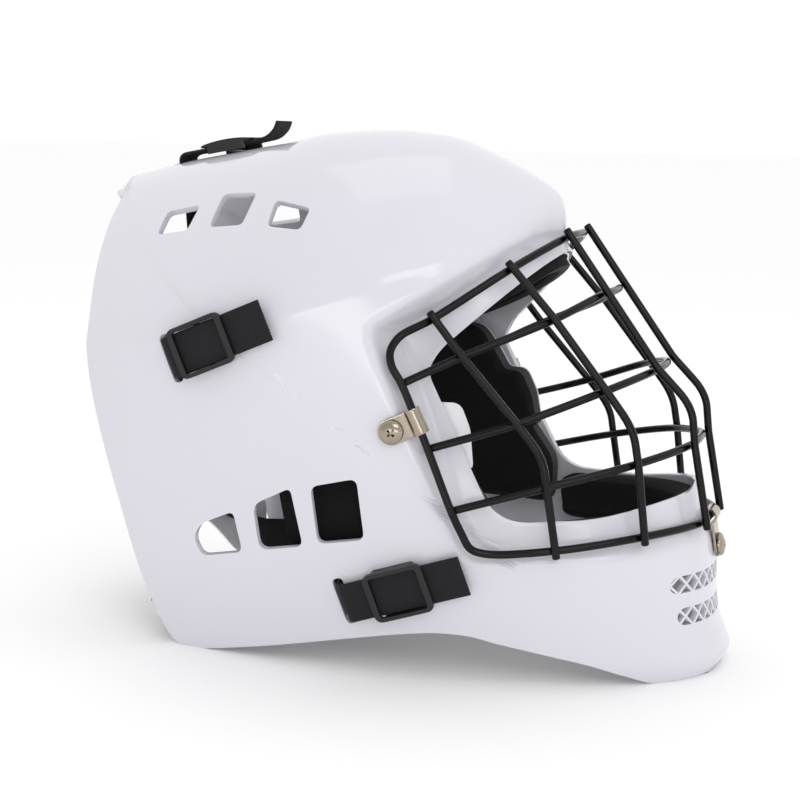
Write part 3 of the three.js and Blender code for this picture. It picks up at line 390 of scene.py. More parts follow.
def sideToSheet(p):
    away = np.asarray(p, float) - sheetCentre
    angle = np.arctan2(away[:, 1], away[:, 0])
    far = rimRadius(angle)
    wanted = np.hypot(away[:, 0], away[:, 1]) / far
    low, high = np.zeros_like(wanted), np.ones_like(wanted)
    for _ in range(40):
        middle = (low + high) / 2
        short = reachOf(middle, angle) < wanted
        low, high = np.where(short, middle, low), np.where(short, high, middle)
    # past the rim the sheet simply goes on, so that a cut can run off its edge
    share = np.where(wanted >= 1, 1 + (wanted - 1) * 2, low)
    return sheetCentre + np.stack([np.cos(angle), np.sin(angle)], -1) * (share * far * math.pi / 2)[:, None]


def evenly(points, spacing, closed=True):
    points = np.asarray(points, float)
    if closed:
        points = np.concatenate([points, points[:1]])
    lengths = np.r_[0, np.cumsum(np.linalg.norm(np.diff(points, axis=0), axis=1))]
    count = max(int(round(lengths[-1] / spacing)), 4)
    at = np.linspace(0, lengths[-1], count + 1)[:-1] if closed else np.linspace(0, lengths[-1], count + 1)
    return np.stack([np.interp(at, lengths, points[:, k]) for k in range(points.shape[1])], -1)


def roundedLoop(corners, spacing=1.4):
    points = []
    count = len(corners)
    for i, (x, y, radius) in enumerate(corners):
        corner = np.array([x, y], float)
        before = np.array(corners[i - 1][:2], float) - corner
        after = np.array(corners[(i + 1) % count][:2], float) - corner
        reach = min(radius, 0.48 * min(np.hypot(*before), np.hypot(*after)))
        enter, leave = corner + before / np.hypot(*before) * reach, corner + after / np.hypot(*after) * reach
        for t in np.linspace(0, 1, 9):
            points.append((1 - t) ** 2 * enter + 2 * t * (1 - t) * corner + t * t * leave)
    return evenly(points, spacing)


def insideLoop(points, loop):
    x, y = points[:, 0], points[:, 1]
    inside = np.zeros(len(points), bool)
    for (x0, y0), (x1, y1) in zip(loop, np.roll(loop, -1, axis=0)):
        crosses = (y0 > y) != (y1 > y)
        inside ^= crosses & (x < (x1 - x0) * (y - y0) / (y1 - y0 + 1e-12) + x0)
    return inside


def nearLines(points, chains, distance):
    """Which points lie within a distance of the chains' corners."""
    from mathutils.kdtree import KDTree
    corners = np.concatenate(chains)
    tree = KDTree(len(corners))
    for i, (x, y) in enumerate(corners):
        tree.insert((x, y, 0), i)
    tree.balance()
    return np.array([tree.find((x, y, 0))[2] < distance for x, y in points])


def flatMesh(rim, holes, lines, size, isOpen=None):
    """Triangles of a flat sheet inside a rim, fine and even, less its holes and what isOpen says is air."""
    low, high = rim.min(0), rim.max(0)
    rows = np.arange(low[1], high[1], size * 0.866)
    grid = np.concatenate([np.stack([np.arange(low[0] + (size / 2 if k % 2 else 0), high[0], size),
                                     np.full(len(np.arange(low[0] + (size / 2 if k % 2 else 0), high[0], size)), z)], -1)
                           for k, z in enumerate(rows)])
    chains = [rim, *holes, *lines]
    keep = insideLoop(grid, rim)
    for hole in holes:
        keep &= ~insideLoop(grid, hole)
    grid = grid[keep]
    grid = grid[~nearLines(grid, chains, size * 0.62)]
    points, edges = [], []
    for k, chain in enumerate(chains):
        first = len(points)
        points.extend(chain.tolist())
        closed = k <= len(holes)
        edges.extend((first + i, first + (i + 1) % len(chain)) for i in range(len(chain) if closed else len(chain) - 1))
    points.extend(grid.tolist())
    out = geometry.delaunay_2d_cdt([Vector(p) for p in points], edges, [], 0, 1e-5)
    flat = np.array([tuple(v) for v in out[0]])
    faces = np.array([f for f in out[2] if len(f) == 3])
    centres = flat[faces].mean(1)
    good = insideLoop(centres, rim)
    for hole in holes:
        good &= ~insideLoop(centres, hole)
    if isOpen is not None:
        good &= ~isOpen(centres)
    faces = faces[good]
    used, compact = np.unique(faces, return_inverse=True)
    return flat[used], compact.reshape(-1, 3)


def toMesh(name, points, faces, uv=None):
    """Points in millimetres about the drawing's middle; faces as lists of corners."""
    place = (np.asarray(points, float) + (middleShift, 0, 0)) * metresPerMm
    mesh = bpy.data.meshes.new(name)
    mesh.from_pydata(place.tolist(), [], [tuple(f) for f in faces])
    mesh.update()
    if uv is not None:
        layer = mesh.uv_layers.new(name="weave")
        corners = np.zeros(len(mesh.loops), int)
        mesh.loops.foreach_get("vertex_index", corners)
        layer.data.foreach_set("uv", np.asarray(uv, float)[corners].ravel())
    return mesh


def addModifier(piece, kind, **settings):
    modifier = piece.modifiers.new(kind.lower(), kind)
    for name, value in settings.items():
        setattr(modifier, name, value)
    return modifier


def settle(piece):
    """Turns a piece's modifiers into plain mesh."""
    bpy.context.view_layer.update()
    graph = bpy.context.evaluated_depsgraph_get()
    plain = bpy.data.meshes.new_from_object(piece.evaluated_get(graph), preserve_all_data_layers=True, depsgraph=graph)
    piece.modifiers.clear()
    piece.data = plain
    return piece


def putPiece(name, mesh, material, body, replaced=(), smooth=True):
    piece = bpy.data.objects.new(name, mesh)
    scene.collection.objects.link(piece)
    if not mesh.materials:
        mesh.materials.append(material)
    if smooth:
        mesh.polygons.foreach_set("use_smooth", [True] * len(mesh.polygons))
    if body:
        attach(piece, body)
    if replaced:
        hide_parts(*([replaced] if isinstance(replaced, str) else replaced))
    return piece


# where the five straps pass the shell
strapSpec = {"width": 20, "thick": 1.6, "clearance": 2, "upperSlot": (-98.5, 149), "upperEnd": (-47, 171),
             "lowerSlot": (-14.5, 35.5), "lowerEnd": (44, 55), "crownSlot": -138, "crownEnd": -84,
             "ribPitch": 1.45, "ribHeight": 0.3, "step": 0.42}
sliderSpec = {"bar": 3, "length": 30, "thick": 2.2, "rail": 2, "gap": 0.3, "middleBar": 1.6, "standOff": 0.5,
              "at": {"crown": 28, "upper": 21, "lower": 29}}


def unit(v):
    return v / np.linalg.norm(v)


def surfacePoint(x, z, side):
    return np.array([x, side * float(halfWidth(np.float64(x), np.float64(z))), z])


def strapFrame(slot, end, side):
    start, finishPoint = surfacePoint(*slot, side), surfacePoint(*end, side)
    along = unit(finishPoint - start)
    middle = ((slot[0] + end[0]) / 2, (slot[1] + end[1]) / 2)
    normal = surfaceNormals(np.float64(middle[0]), np.float64(middle[1]), side)
    across = unit(np.cross(normal, along))
    out = np.cross(along, across)
    length = float(np.linalg.norm(finishPoint - start))
    lift = 0.0
    for share in np.arange(0, 1.01, 0.1):
        for wide in (-1, 0, 1):
            probe = start + along * share * length + across * wide * (strapSpec["width"] / 2 + sliderSpec["rail"])
            lift = max(lift, float((surfacePoint(probe[0], probe[2], side) - probe) @ out))
    return {"start": start, "along": along, "across": across, "out": out, "length": length, "lift": lift}


def crownFrame():
    start = np.array([strapSpec["crownSlot"], 0, float(readCurve(crownLine, strapSpec["crownSlot"]))])
    end = np.array([strapSpec["crownEnd"], 0, float(readCurve(crownLine, strapSpec["crownEnd"]))])
    along = unit(end - start)
    across = np.array([0.0, 1.0, 0.0])
    return {"start": start, "along": along, "across": across, "out": np.cross(along, across),
            "length": float(np.linalg.norm(end - start)), "lift": 0.6}


strapFrames = {"crown": crownFrame()}
for sideName, side in (("left", 1), ("right", -1)):
    strapFrames["upper_" + sideName] = strapFrame(strapSpec["upperSlot"], strapSpec["upperEnd"], side)
    strapFrames["lower_" + sideName] = strapFrame(strapSpec["lowerSlot"], strapSpec["lowerEnd"], side)

# openings in the shell, in side view: (x, z, corner radius)
faceOpening = [(76, 207, 2), (25, 157, 10), (20, 147, 6), (56, 78, 14), (100, 80, 10), (136, 89, 10),
               (210, 102, 2), (210, 207, 2)]
sideHoles = [[(-92, 60, 5), (-87, 68, 4), (-69, 76, 3), (-65.5, 55.5, 4), (-88, 51, 4)],
             [(-58.5, 80.5, 5), (-39, 90.5, 3), (-34, 61.5, 4), (-56.5, 57.5, 5)],
             [(-29, 92, 4), (-6.5, 97.5, 4), (-3.5, 67.5, 4), (-26.5, 63.5, 4)],
             [(-120, 216, 2.5), (-101, 220, 2.5), (-103, 208, 2.5), (-121, 205, 2.5)],
             [(-90, 225.5, 2.5), (-70.5, 227, 2.5), (-72, 212, 2.5), (-90.5, 210, 2.5)],
             [(-58, 224, 2.5), (-38, 221, 2.5), (-40, 211, 2.5), (-58, 212, 2.5)]]
screwAt = {"side": (10, 121), "bore": 2.8}
# chin vents: two rounded slots crossed by thin bars, front view (y, z)
chinVent = {"rows": ((47.5, 41.0, 4.3), (31.5, 37.0, 4.3)), "bar": 1.15, "pitch": 8.2, "lean": 0.9}


def slotLoop(frameOf):
    half = strapSpec["width"] / 2 + strapSpec["clearance"]
    wide = strapSpec["thick"] / 2 + strapSpec["clearance"]
    corners = [frameOf["start"] + frameOf["along"] * a * wide + frameOf["across"] * b * half
               for a, b in ((-1, -1), (1, -1), (1, 1), (-1, 1))]
    return roundedLoop([(c[0], c[2], 2.4) for c in corners])


def crownSlotLoop():
    """Half of the slot in the crown: it runs off the sheet where the halves meet."""
    half = strapSpec["width"] / 2 + strapSpec["clearance"]
    wide = strapSpec["thick"] / 2 + strapSpec["clearance"]
    xs = np.linspace(strapSpec["crownSlot"] - wide, strapSpec["crownSlot"] + wide, 7)
    low, high = readCurve(creaseLine, xs), readCurve(crownLine, xs)
    for _ in range(40):
        middle = (low + high) / 2
        wideEnough = halfWidth(xs, middle) > half
        low, high = np.where(wideEnough, middle, low), np.where(wideEnough, high, middle)
    deep = np.stack([xs, low], -1)
    top = readCurve(crownLine, xs)
    lift = np.array([[xs[0], top[0]], [xs[-1], top[-1]]])
    sheet = sideToSheet(np.concatenate([deep, lift]))
    bottom, (leftTop, rightTop) = sheet[:7], sheet[7:]
    out = lambda p: sheetCentre + (p - sheetCentre) * 1.08
    left = [leftTop + (bottom[0] - leftTop) * t for t in np.linspace(0, 1, 7)[:-1]]
    right = [bottom[-1] + (rightTop - bottom[-1]) * t for t in np.linspace(0, 1, 7)[1:]]
    return np.array([out(leftTop), *left, *bottom, *right, out(rightTop)])


def frontToSide(y, z):
    """Side-view points of the chin at a distance y from the middle."""
    y, z = np.abs(np.asarray(y, float)), np.asarray(z, float)
    low, high = np.full_like(z, 40.0), readCurve(frontLine, z)
    for _ in range(44):
        middle = (low + high) / 2
        wideEnough = halfWidth(middle, z) > y
        low, high = np.where(wideEnough, middle, low), np.where(wideEnough, high, middle)
    return np.stack([low, z], -1)


def ventChains():
    """Edges of the chin slots and of the bars that cross them, on the sheet."""
    chains = []
    for height, reach, half in chinVent["rows"]:
        end = [(y, height + s * half) for s in (1,) for y in np.arange(0, reach - half, 1.3)]
        turn = [(reach - half + half * math.cos(a), height + half * math.sin(a)) for a in np.linspace(math.pi / 2, -math.pi / 2, 11)]
        back = [(y, z - 2 * half) for y, z in end[::-1]]
        edge = np.array(end + turn + back)
        chains.append(sideToSheet(frontToSide(edge[:, 0], edge[:, 1])))
        count = int(reach / chinVent["pitch"]) + 2
        for k in range(-1, count):
            for lean in (1, -1):
                for edgeSide in (-1, 1):
                    z = np.linspace(height - half - 0.4, height + half + 0.4, 10)
                    y = k * chinVent["pitch"] + edgeSide * chinVent["bar"] * 0.62 + lean * (z - height) * chinVent["lean"]
                    keep = (y > 0.02) & (y < reach + 1)
                    if keep.sum() > 1:
                        chains.append(sideToSheet(frontToSide(y[keep], z[keep])))
    return chains


def inVent(q):
    p = sheetToSide(q)
    y = halfWidth(p[:, 0], p[:, 1])
    z = p[:, 1]
    air = np.zeros(len(q), bool)
    for height, reach, half in chinVent["rows"]:
        past = np.maximum(y - (reach - half), 0)
        slot = (np.abs(z - height) < half) & (past ** 2 + (z - height) ** 2 < half ** 2) & (p[:, 0] > 40)
        barred = np.zeros(len(q), bool)
        for lean, pitch in ((1, chinVent["pitch"]), (-1, chinVent["pitch"])):
            across = y - lean * (z - height) * chinVent["lean"]
            barred |= np.abs((across / pitch + 0.5) % 1 - 0.5) * pitch < chinVent["bar"] * 0.62
        air |= slot & ~barred
    return air


def screwLoop(centre, radius):
    a = np.linspace(0, 2 * math.pi, 15)[:-1]
    return np.stack([centre[0] + radius * np.cos(a), centre[1] + radius * np.sin(a)], -1)


def openingLoop():
    side = roundedLoop(faceOpening, 1.5)
    away = side - sheetCentre
    reach = np.hypot(away[:, 0], away[:, 1]) / rimRadius(np.arctan2(away[:, 1], away[:, 0]))
    sheet = sideToSheet(side)
    # past the rim, keep the cut just outside so that it doesn't cross the sheet
    far = reach > 1.0
    angle = np.arctan2(away[far, 1], away[far, 0])
    sheet[far] = sheetCentre + np.stack([np.cos(angle), np.sin(angle)], -1) * (rimRadius(angle) * math.pi / 2
                                                                              * (1.0 + 0.02 * np.minimum((reach[far] - 1) * 20, 3)))[:, None]
    return sheet


# rounds the skin off round one point
def softenCorner(piece, corner, radius):
    place = Vector((corner + (middleShift, 0, 0)) * metresPerMm)
    work = bmesh.new()
    work.from_mesh(piece.data)
    close = [v for v in work.verts if (v.co - place).length < radius * metresPerMm]
    for _ in range(14):
        bmesh.ops.smooth_vert(work, verts=close, factor=0.5, use_axis_x=True, use_axis_y=True, use_axis_z=True)
    work.to_mesh(piece.data)
    work.free()


def buildShell():
    angles = np.linspace(-math.pi, math.pi, 721)[:-1]
    rim = sheetCentre + np.stack([np.cos(angles), np.sin(angles)], -1) * (rimRadius(angles) * math.pi / 2)[:, None]
    rim = evenly(rim, shell["meshSize"] * 0.9)
    away = rim - sheetCentre
    angle = np.arctan2(away[:, 1], away[:, 0])
    rim = sheetCentre + np.stack([np.cos(angle), np.sin(angle)], -1) * (rimRadius(angle) * math.pi / 2)[:, None]
    holes = [sideToSheet(roundedLoop(corners)) for corners in sideHoles]
    holes += [sideToSheet(slotLoop(strapFrames["upper_right"])), sideToSheet(slotLoop(strapFrames["lower_right"]))]
    holes.append(sideToSheet(screwLoop(screwAt["side"], screwAt["bore"])))
    holes += [crownSlotLoop(), openingLoop()]
    flat, faces = flatMesh(rim, holes, ventChains(), shell["meshSize"], inVent)
    side = sheetToSide(flat)
    width = halfWidth(side[:, 0], side[:, 1])
    away = flat - sheetCentre
    angle = np.arctan2(away[:, 1], away[:, 0])
    onRim = np.hypot(away[:, 0], away[:, 1]) > rimRadius(angle) * math.pi / 2 - 0.05
    seam = onRim & (closedShare(angle) > 0.999)
    width = np.where(seam, 0, width)
    mirror = np.arange(len(flat)) + len(flat)
    mirror[seam] = np.arange(len(flat))[seam]
    right = np.stack([side[:, 0], -width, side[:, 1]], -1)
    left = right * (1, -1, 1)
    points = np.concatenate([right, left])
    points[:, 2] = np.maximum(points[:, 2], 0)
    both = np.concatenate([faces, mirror[faces[:, ::-1]]])
    used, compact = np.unique(both, return_inverse=True)
    mesh = toMesh("shell_skin", points[used], compact.reshape(-1, 3))
    piece = putPiece("shell_moulding", mesh, finish["shell"], None)
    addModifier(piece, "SOLIDIFY", thickness=shell["wall"] * metresPerMm, offset=-1, use_even_offset=False, use_rim=True)
    settle(piece)
    clean = bmesh.new()
    clean.from_mesh(piece.data)
    bmesh.ops.dissolve_degenerate(clean, edges=clean.edges, dist=1e-5)
    clean.to_mesh(piece.data)
    clean.free()
    addModifier(piece, "BEVEL", width=shell["rimRound"] * metresPerMm, segments=3, limit_method="ANGLE",
                angle_limit=math.radians(50), use_clamp_overlap=True)
    settle(piece)
    softenCorner(piece, np.array([-165.0, 0, 232.7]), 13)
    piece.data.materials.clear()
    piece.data.materials.append(finish["shell"])
    piece.data.polygons.foreach_set("use_smooth", [True] * len(piece.data.polygons))
    heights = np.zeros(len(piece.data.vertices) * 3)
    piece.data.vertices.foreach_get("co", heights)
    heights[2::3] = np.maximum(heights[2::3], 0)
    piece.data.vertices.foreach_set("co", heights)
    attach(piece, "mask")
    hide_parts("shell")
    return piece


shellPiece = buildShell()
say("shell has %d faces" % len(shellPiece.data.polygons))

# cage wires
cage = {"wire": 3.8, "gap": 0.3, "bow": 2.6, "overrun": 2.4, "rowOverrun": 0.3, "sideY": 89, "sides": 20}
uprights = [{"name": "outer", "y": 75, "at": [(23.4, 172.4), (37.5, 155.4), (64.5, 126), (77.5, 111), (79.7, 97), (84.8, 67.7)]},
            {"name": "middle", "y": 54, "at": [(54.2, 195.3), (75, 172.5), (100.5, 140.7), (114, 123.5), (117, 107), (121.4, 72.9)]},
            {"name": "centre", "y": 22, "at": [(73.2, 209.1), (92.3, 182.8), (118, 147.5), (135.2, 130.3), (137.2, 112), (144.6, 75)]}]
rowEnds = [(13.5, 143), (27, 113.2), (39, 85)]
frameCorners = {"top": (7.5, 158.9), "bottom": (46.5, 65.5)}
rowEntries = [1, 2, 4]
wireShift = cage["wire"] / 2 + cage["gap"] / 2


def crossing(column, entry):
    at = lambda c, e: np.array([uprights[c]["at"][e][0], uprights[c]["y"], uprights[c]["at"][e][1]], float)
    point = at(column, entry)
    onUpright = at(column, min(entry + 1, 5)) - at(column, max(entry - 1, 0))
    inner = at(column + 1, entry) if column < 2 else point * (1, 0, 1)
    ends = [frameCorners["top"], rowEnds[0], rowEnds[1], rowEnds[1], rowEnds[2], frameCorners["bottom"]]
    outer = at(column - 1, entry) if column else np.array([ends[entry][0], cage["sideY"], ends[entry][1]], float)
    out = unit(np.cross(inner - outer, onUpright))
    return point, (out if out[0] > 0 else -out)


def throughPoints(points, spacing):
    """A smooth curve through points, then evenly spaced along its length."""
    p = np.array(points, float)
    p = np.concatenate([[2 * p[0] - p[1]], p, [2 * p[-1] - p[-2]]])
    curve = []
    for i in range(1, len(p) - 2):
        a, b, c, d = p[i - 1:i + 3]
        da, db, dc = [max(math.sqrt(np.linalg.norm(v)), 1e-6) for v in (b - a, c - b, d - c)]
        m0 = ((b - a) / da - (c - a) / (da + db) + (c - b) / db) * db
        m1 = ((c - b) / db - (d - b) / (db + dc) + (d - c) / dc) * db
        for t in np.linspace(0, 1, 25)[:-1]:
            curve.append(b + t * (m0 + t * (3 * (c - b) - 2 * m0 - m1 + t * (m0 + m1 - 2 * (c - b)))))
    curve.append(p[-2])
    return evenly(curve, spacing, closed=False)


def wireTree():
    """Sweeps a round section along a line of edges: inputs Radius, Sides and Finish."""
    tree = bpy.data.node_groups.new("roundWire", "GeometryNodeTree")
    tree.interface.new_socket("Geometry", in_out="INPUT", socket_type="NodeSocketGeometry")
    tree.interface.new_socket("Radius", in_out="INPUT", socket_type="NodeSocketFloat")
    tree.interface.new_socket("Sides", in_out="INPUT", socket_type="NodeSocketInt")
    tree.interface.new_socket("Finish", in_out="INPUT", socket_type="NodeSocketMaterial")
    tree.interface.new_socket("Geometry", in_out="OUTPUT", socket_type="NodeSocketGeometry")
    given = addNode(tree, "NodeGroupInput").outputs
    path = addNode(tree, "GeometryNodeMeshToCurve", {"Mesh": given["Geometry"]})
    taper = addNode(tree, "GeometryNodeInputNamedAttribute", {"Name": "taper"}, data_type="FLOAT")
    sized = addNode(tree, "GeometryNodeSetCurveRadius", {"Curve": path.outputs["Curve"], "Radius": taper.outputs["Attribute"]})
    section = addNode(tree, "GeometryNodeCurvePrimitiveCircle", {"Resolution": given["Sides"], "Radius": given["Radius"]})
    swept = addNode(tree, "GeometryNodeCurveToMesh", {"Curve": sized.outputs["Curve"], "Profile Curve": section.outputs["Curve"],
                                                      "Fill Caps": True})
    if "Scale" in swept.inputs:
        radius = addNode(tree, "GeometryNodeInputNamedAttribute", {"Name": "taper"}, data_type="FLOAT")
        tree.links.new(radius.outputs["Attribute"], swept.inputs["Scale"])
    real = addNode(tree, "GeometryNodeRealizeInstances", {"Geometry": swept.outputs["Mesh"]})
    painted = addNode(tree, "GeometryNodeSetMaterial", {"Geometry": real.outputs["Geometry"], "Material": given["Finish"]})
    addNode(tree, "NodeGroupOutput", {"Geometry": painted.outputs["Geometry"]})
    return tree


roundWire = wireTree()


def setInputs(modifier, tree, values):
    for socket in tree.interface.items_tree:
        if socket.in_out == "INPUT" and socket.name in values:
            modifier[socket.identifier] = values[socket.name]


def wirePiece(name, path, body="mask", node=None, radius=None, closed=False):
    """One wire along a path, with its ends dressed round."""
    radius = radius or cage["wire"] / 2
    path = np.array(path)
    taper = np.ones(len(path))
    if not closed:
        for sign, end, beyond in ((1, path[0], path[1]), (-1, path[-1], path[-2])):
            away = unit(end - beyond)
            cap = [end + away * radius * 0.45 * math.sin(a) for a in (0.6, 1.1, 1.5)]
            size = [math.cos(a) * 0.45 + 0.55 if a < 1.4 else 0.28 for a in (0.6, 1.1, 1.5)]
            path = np.concatenate([cap[::-1], path]) if sign > 0 else np.concatenate([path, cap])
            taper = np.concatenate([size[::-1], taper]) if sign > 0 else np.concatenate([taper, size])
    mesh = bpy.data.meshes.new(name)
    place = (path + (middleShift, 0, 0)) * metresPerMm
    links = [(i, i + 1) for i in range(len(path) - 1)] + ([(len(path) - 1, 0)] if closed else [])
    mesh.from_pydata(place.tolist(), links, [])
    mesh.attributes.new("taper", "FLOAT", "POINT").data.foreach_set("value", taper)
    piece = bpy.data.objects.new(name, mesh)
    scene.collection.objects.link(piece)
    modifier = piece.modifiers.new("roundWire", "NODES")
    modifier.node_group = roundWire
    setInputs(modifier, roundWire, {"Radius": radius * metresPerMm, "Sides": cage["sides"], "Finish": finish["wire"]})
    settle(piece)
    piece.data.polygons.foreach_set("use_smooth", [len(p.vertices) == 4 for p in piece.data.polygons])
    turnOutwards(piece)
    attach(piece, body)
    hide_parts(node or name)
    return piece


def turnOutwards(piece):
    work = bmesh.new()
    work.from_mesh(piece.data)
    bmesh.ops.recalc_face_normals(work, faces=work.faces)
    work.to_mesh(piece.data)
    work.free()


def mirroredPath(points):
    return [p * (1, -1, 1) for p in reversed(points)]


def framePath():
    top, bottom = [], []
    for column in (2, 1, 0):
        point, out = crossing(column, 0)
        top.append(point - out * wireShift)
        point, out = crossing(column, 5)
        bottom.insert(0, point - out * wireShift)
    side = [(10.8, 85.8, 164), (7.6, 88.4, 157.5), (8.6, 89, 151), *[(x, cage["sideY"], z) for x, z in rowEnds],
            (43.2, 86.5, 75), (47.2, 84.5, 67.6), (54, 82, 65.2)]
    half = [*top, *[np.array(p, float) for p in side], *bottom]
    topMiddle = half[0] * (1, 0, 1) + (cage["bow"], 0, 1.6)
    bottomMiddle = half[-1] * (1, 0, 1) + (cage["bow"], 0, 0.3)
    nearMiddle = bottomMiddle + (0, cage["gap"], 0)
    return throughPoints([*mirroredPath([*half, nearMiddle]), topMiddle, *half, nearMiddle], 1.5), bottomMiddle


loop, chinWire = framePath()
wirePiece("cage_frame_wire", loop, node="cage_frame")
for row, rowName in enumerate(("upper", "middle", "lower")):
    half = []
    for column in (2, 1, 0):
        point, out = crossing(column, rowEntries[row])
        half.append(point - out * wireShift)
    end = np.array([rowEnds[row][0], cage["sideY"] - cage["wire"] - cage["gap"], rowEnds[row][1]])
    beyond = end + unit(end - half[2]) * cage["rowOverrun"]
    middle = half[0] * (1, 0, 1) + (cage["bow"], 0, 0.8)
    wirePiece(f"cage_row_{rowName}_wire", throughPoints([*mirroredPath([*half, beyond]), middle, *half, beyond], 2.0),
              node=f"cage_row_{rowName}")
for column, upright in enumerate(uprights):
    for sideName, side in (("left", 1), ("right", -1)):
        at = []
        for entry in range(6):
            point, out = crossing(column, entry)
            at.append(point + out * wireShift)
        at[0] = at[1] + unit(at[0] - at[1]) * (np.linalg.norm(at[0] - at[1]) + cage["overrun"])
        at[5] = at[4] + unit(at[5] - at[4]) * (np.linalg.norm(at[5] - at[4]) + cage["overrun"])
        bend = at[3]
        enter, leave = bend + unit(at[2] - bend) * 9, bend + unit(at[4] - bend) * 7.2
        curve = [(1 - t) ** 2 * enter + 2 * t * (1 - t) * bend + t * t * leave for t in np.linspace(0, 1, 9)]
        path = evenly([at[0], at[1], at[2], *curve, at[4], at[5]], 2.0, closed=False) * (1, side, 1)
        wirePiece(f"cage_upright_{upright['name']}_{sideName}_wire", path, node=f"cage_upright_{upright['name']}_{sideName}")
say("cage wires ready")


# clips, screws and nuts
clip = {"width": 12.5, "thick": 1.2, "seat": 0.6, "slack": 0.5, "round": 0.28}
screw = {"head": 11.5, "shank": 5.0, "recess": 2.3, "slot": 1.15, "recessDeep": 1.9, "turn": 24}
nut = {"across": 8, "thick": 4, "standOff": 3}


def sideClipFrame(side):
    start = surfacePoint(*screwAt["side"], side)
    out = surfaceNormals(np.float64(screwAt["side"][0]), np.float64(screwAt["side"][1]), side)
    across = unit(np.cross(out, np.array([29.8, 0, 13.5])))
    return {"start": start, "out": out, "across": across, "along": np.cross(across, out)}




def chinClipFrame(height):
    at = lambda z: np.array([float(readCurve(frontLine, z)), 0, z])
    rise = unit(at(height + 5) - at(height - 7))
    across = np.array([0, -1.0, 0])
    return {"start": at(height), "out": np.cross(rise, across), "across": across, "along": rise}


chinFrame = chinClipFrame(60.0)
clipFrames = {"side_left": sideClipFrame(1), "side_right": sideClipFrame(-1), "chin": chinFrame}


def heldWire(name):
    if name == "chin":
        return chinWire
    share = (rowEnds[0][1] - 127) / (rowEnds[0][1] - rowEnds[1][1])
    x = rowEnds[0][0] + (rowEnds[1][0] - rowEnds[0][0]) * share
    return np.array([x, cage["sideY"] * (1 if name == "side_left" else -1), 127])


def fromFrame(spot, local):
    local = np.asarray(local, float)
    return spot["start"] + local[:, :1] * spot["along"] + local[:, 1:2] * spot["across"] + local[:, 2:3] * spot["out"]


def gridFaces(rows, columns, closedAcross=False):
    wide = columns if closedAcross else columns - 1
    return [(r * columns + c, r * columns + (c + 1) % columns, (r + 1) * columns + (c + 1) % columns, (r + 1) * columns + c)
            for r in range(rows - 1) for c in range(wide)]


def cutAway(piece, tool):
    addModifier(piece, "BOOLEAN", operation="DIFFERENCE", object=tool, solver="EXACT")
    settle(piece)
    bpy.data.objects.remove(tool)
    piece.data.materials.clear()
    return piece


def rodTool(spot, radius, low, high, count=24):
    a = np.linspace(0, 2 * math.pi, count + 1)[:-1]
    ring = np.stack([radius * np.cos(a), radius * np.sin(a)], -1)
    local = np.concatenate([np.c_[ring, np.full(count, low)], np.c_[ring, np.full(count, high)]])
    faces = gridFaces(2, count, True) + [tuple(range(count)), tuple(range(2 * count - 1, count - 1, -1))]
    tool = putPiece("tool", toMesh("tool", fromFrame(spot, local), faces), finish["nickel"], None, smooth=False)
    turnOutwards(tool)
    return tool


def clipPiece(name, spot):
    away = heldWire(name) - spot["start"]
    reach, height = away @ spot["along"], away @ spot["out"]
    radius = cage["wire"] / 2 + clip["slack"] + cage["gap"] + clip["thick"] / 2
    level = clip["seat"] + clip["thick"] / 2
    head = screw["head"] / 2
    meets = math.pi - math.asin(min(1.0, max(-1.0, (level - height) / radius)))
    line = [(-head - 0.5, level), (-2, level), (2, level), (max(reach - radius - 3, head), level)]
    line += [(reach + radius * math.cos(a), height + radius * math.sin(a)) for a in np.linspace(meets, -0.1 * math.pi, 17)]
    path = evenly(throughPoints([(x, 0, z) for x, z in line], 0.5), 0.55, closed=False)
    rows, columns = len(path), 15
    half = clip["width"] / 2
    local = []
    for u, _, o in path:
        # the end round the screw is cut to a half circle
        past = max(0.0, -(u + head + 0.5 - half))
        wide = math.sqrt(max(half ** 2 - past ** 2, 0.4)) if past > 0 else half
        local += [(u, wide * v, o) for v in np.linspace(-1, 1, columns)]
    piece = putPiece(f"cage_clip_{name}_strip", toMesh("clip", fromFrame(spot, local), gridFaces(rows, columns)), finish["nickel"], None)
    addModifier(piece, "SOLIDIFY", thickness=clip["thick"] * metresPerMm, offset=0, use_rim=True)
    settle(piece)
    turnOutwards(piece)
    cutAway(piece, rodTool(spot, screw["shank"] / 2 + cage["gap"], -3, 6))
    addModifier(piece, "BEVEL", width=clip["round"] * metresPerMm, segments=2, limit_method="ANGLE", angle_limit=math.radians(45))
    settle(piece)
    finishPiece(piece, "nickel", "mask", f"cage_clip_{name}")


def finishPiece(piece, surface, body, node):
    piece.data.materials.clear()
    piece.data.materials.append(finish[surface])
    piece.data.polygons.foreach_set("use_smooth", [True] * len(piece.data.polygons))
    turnOutwards(piece)
    if body:
        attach(piece, body)
    if node:
        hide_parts(node)
    return piece


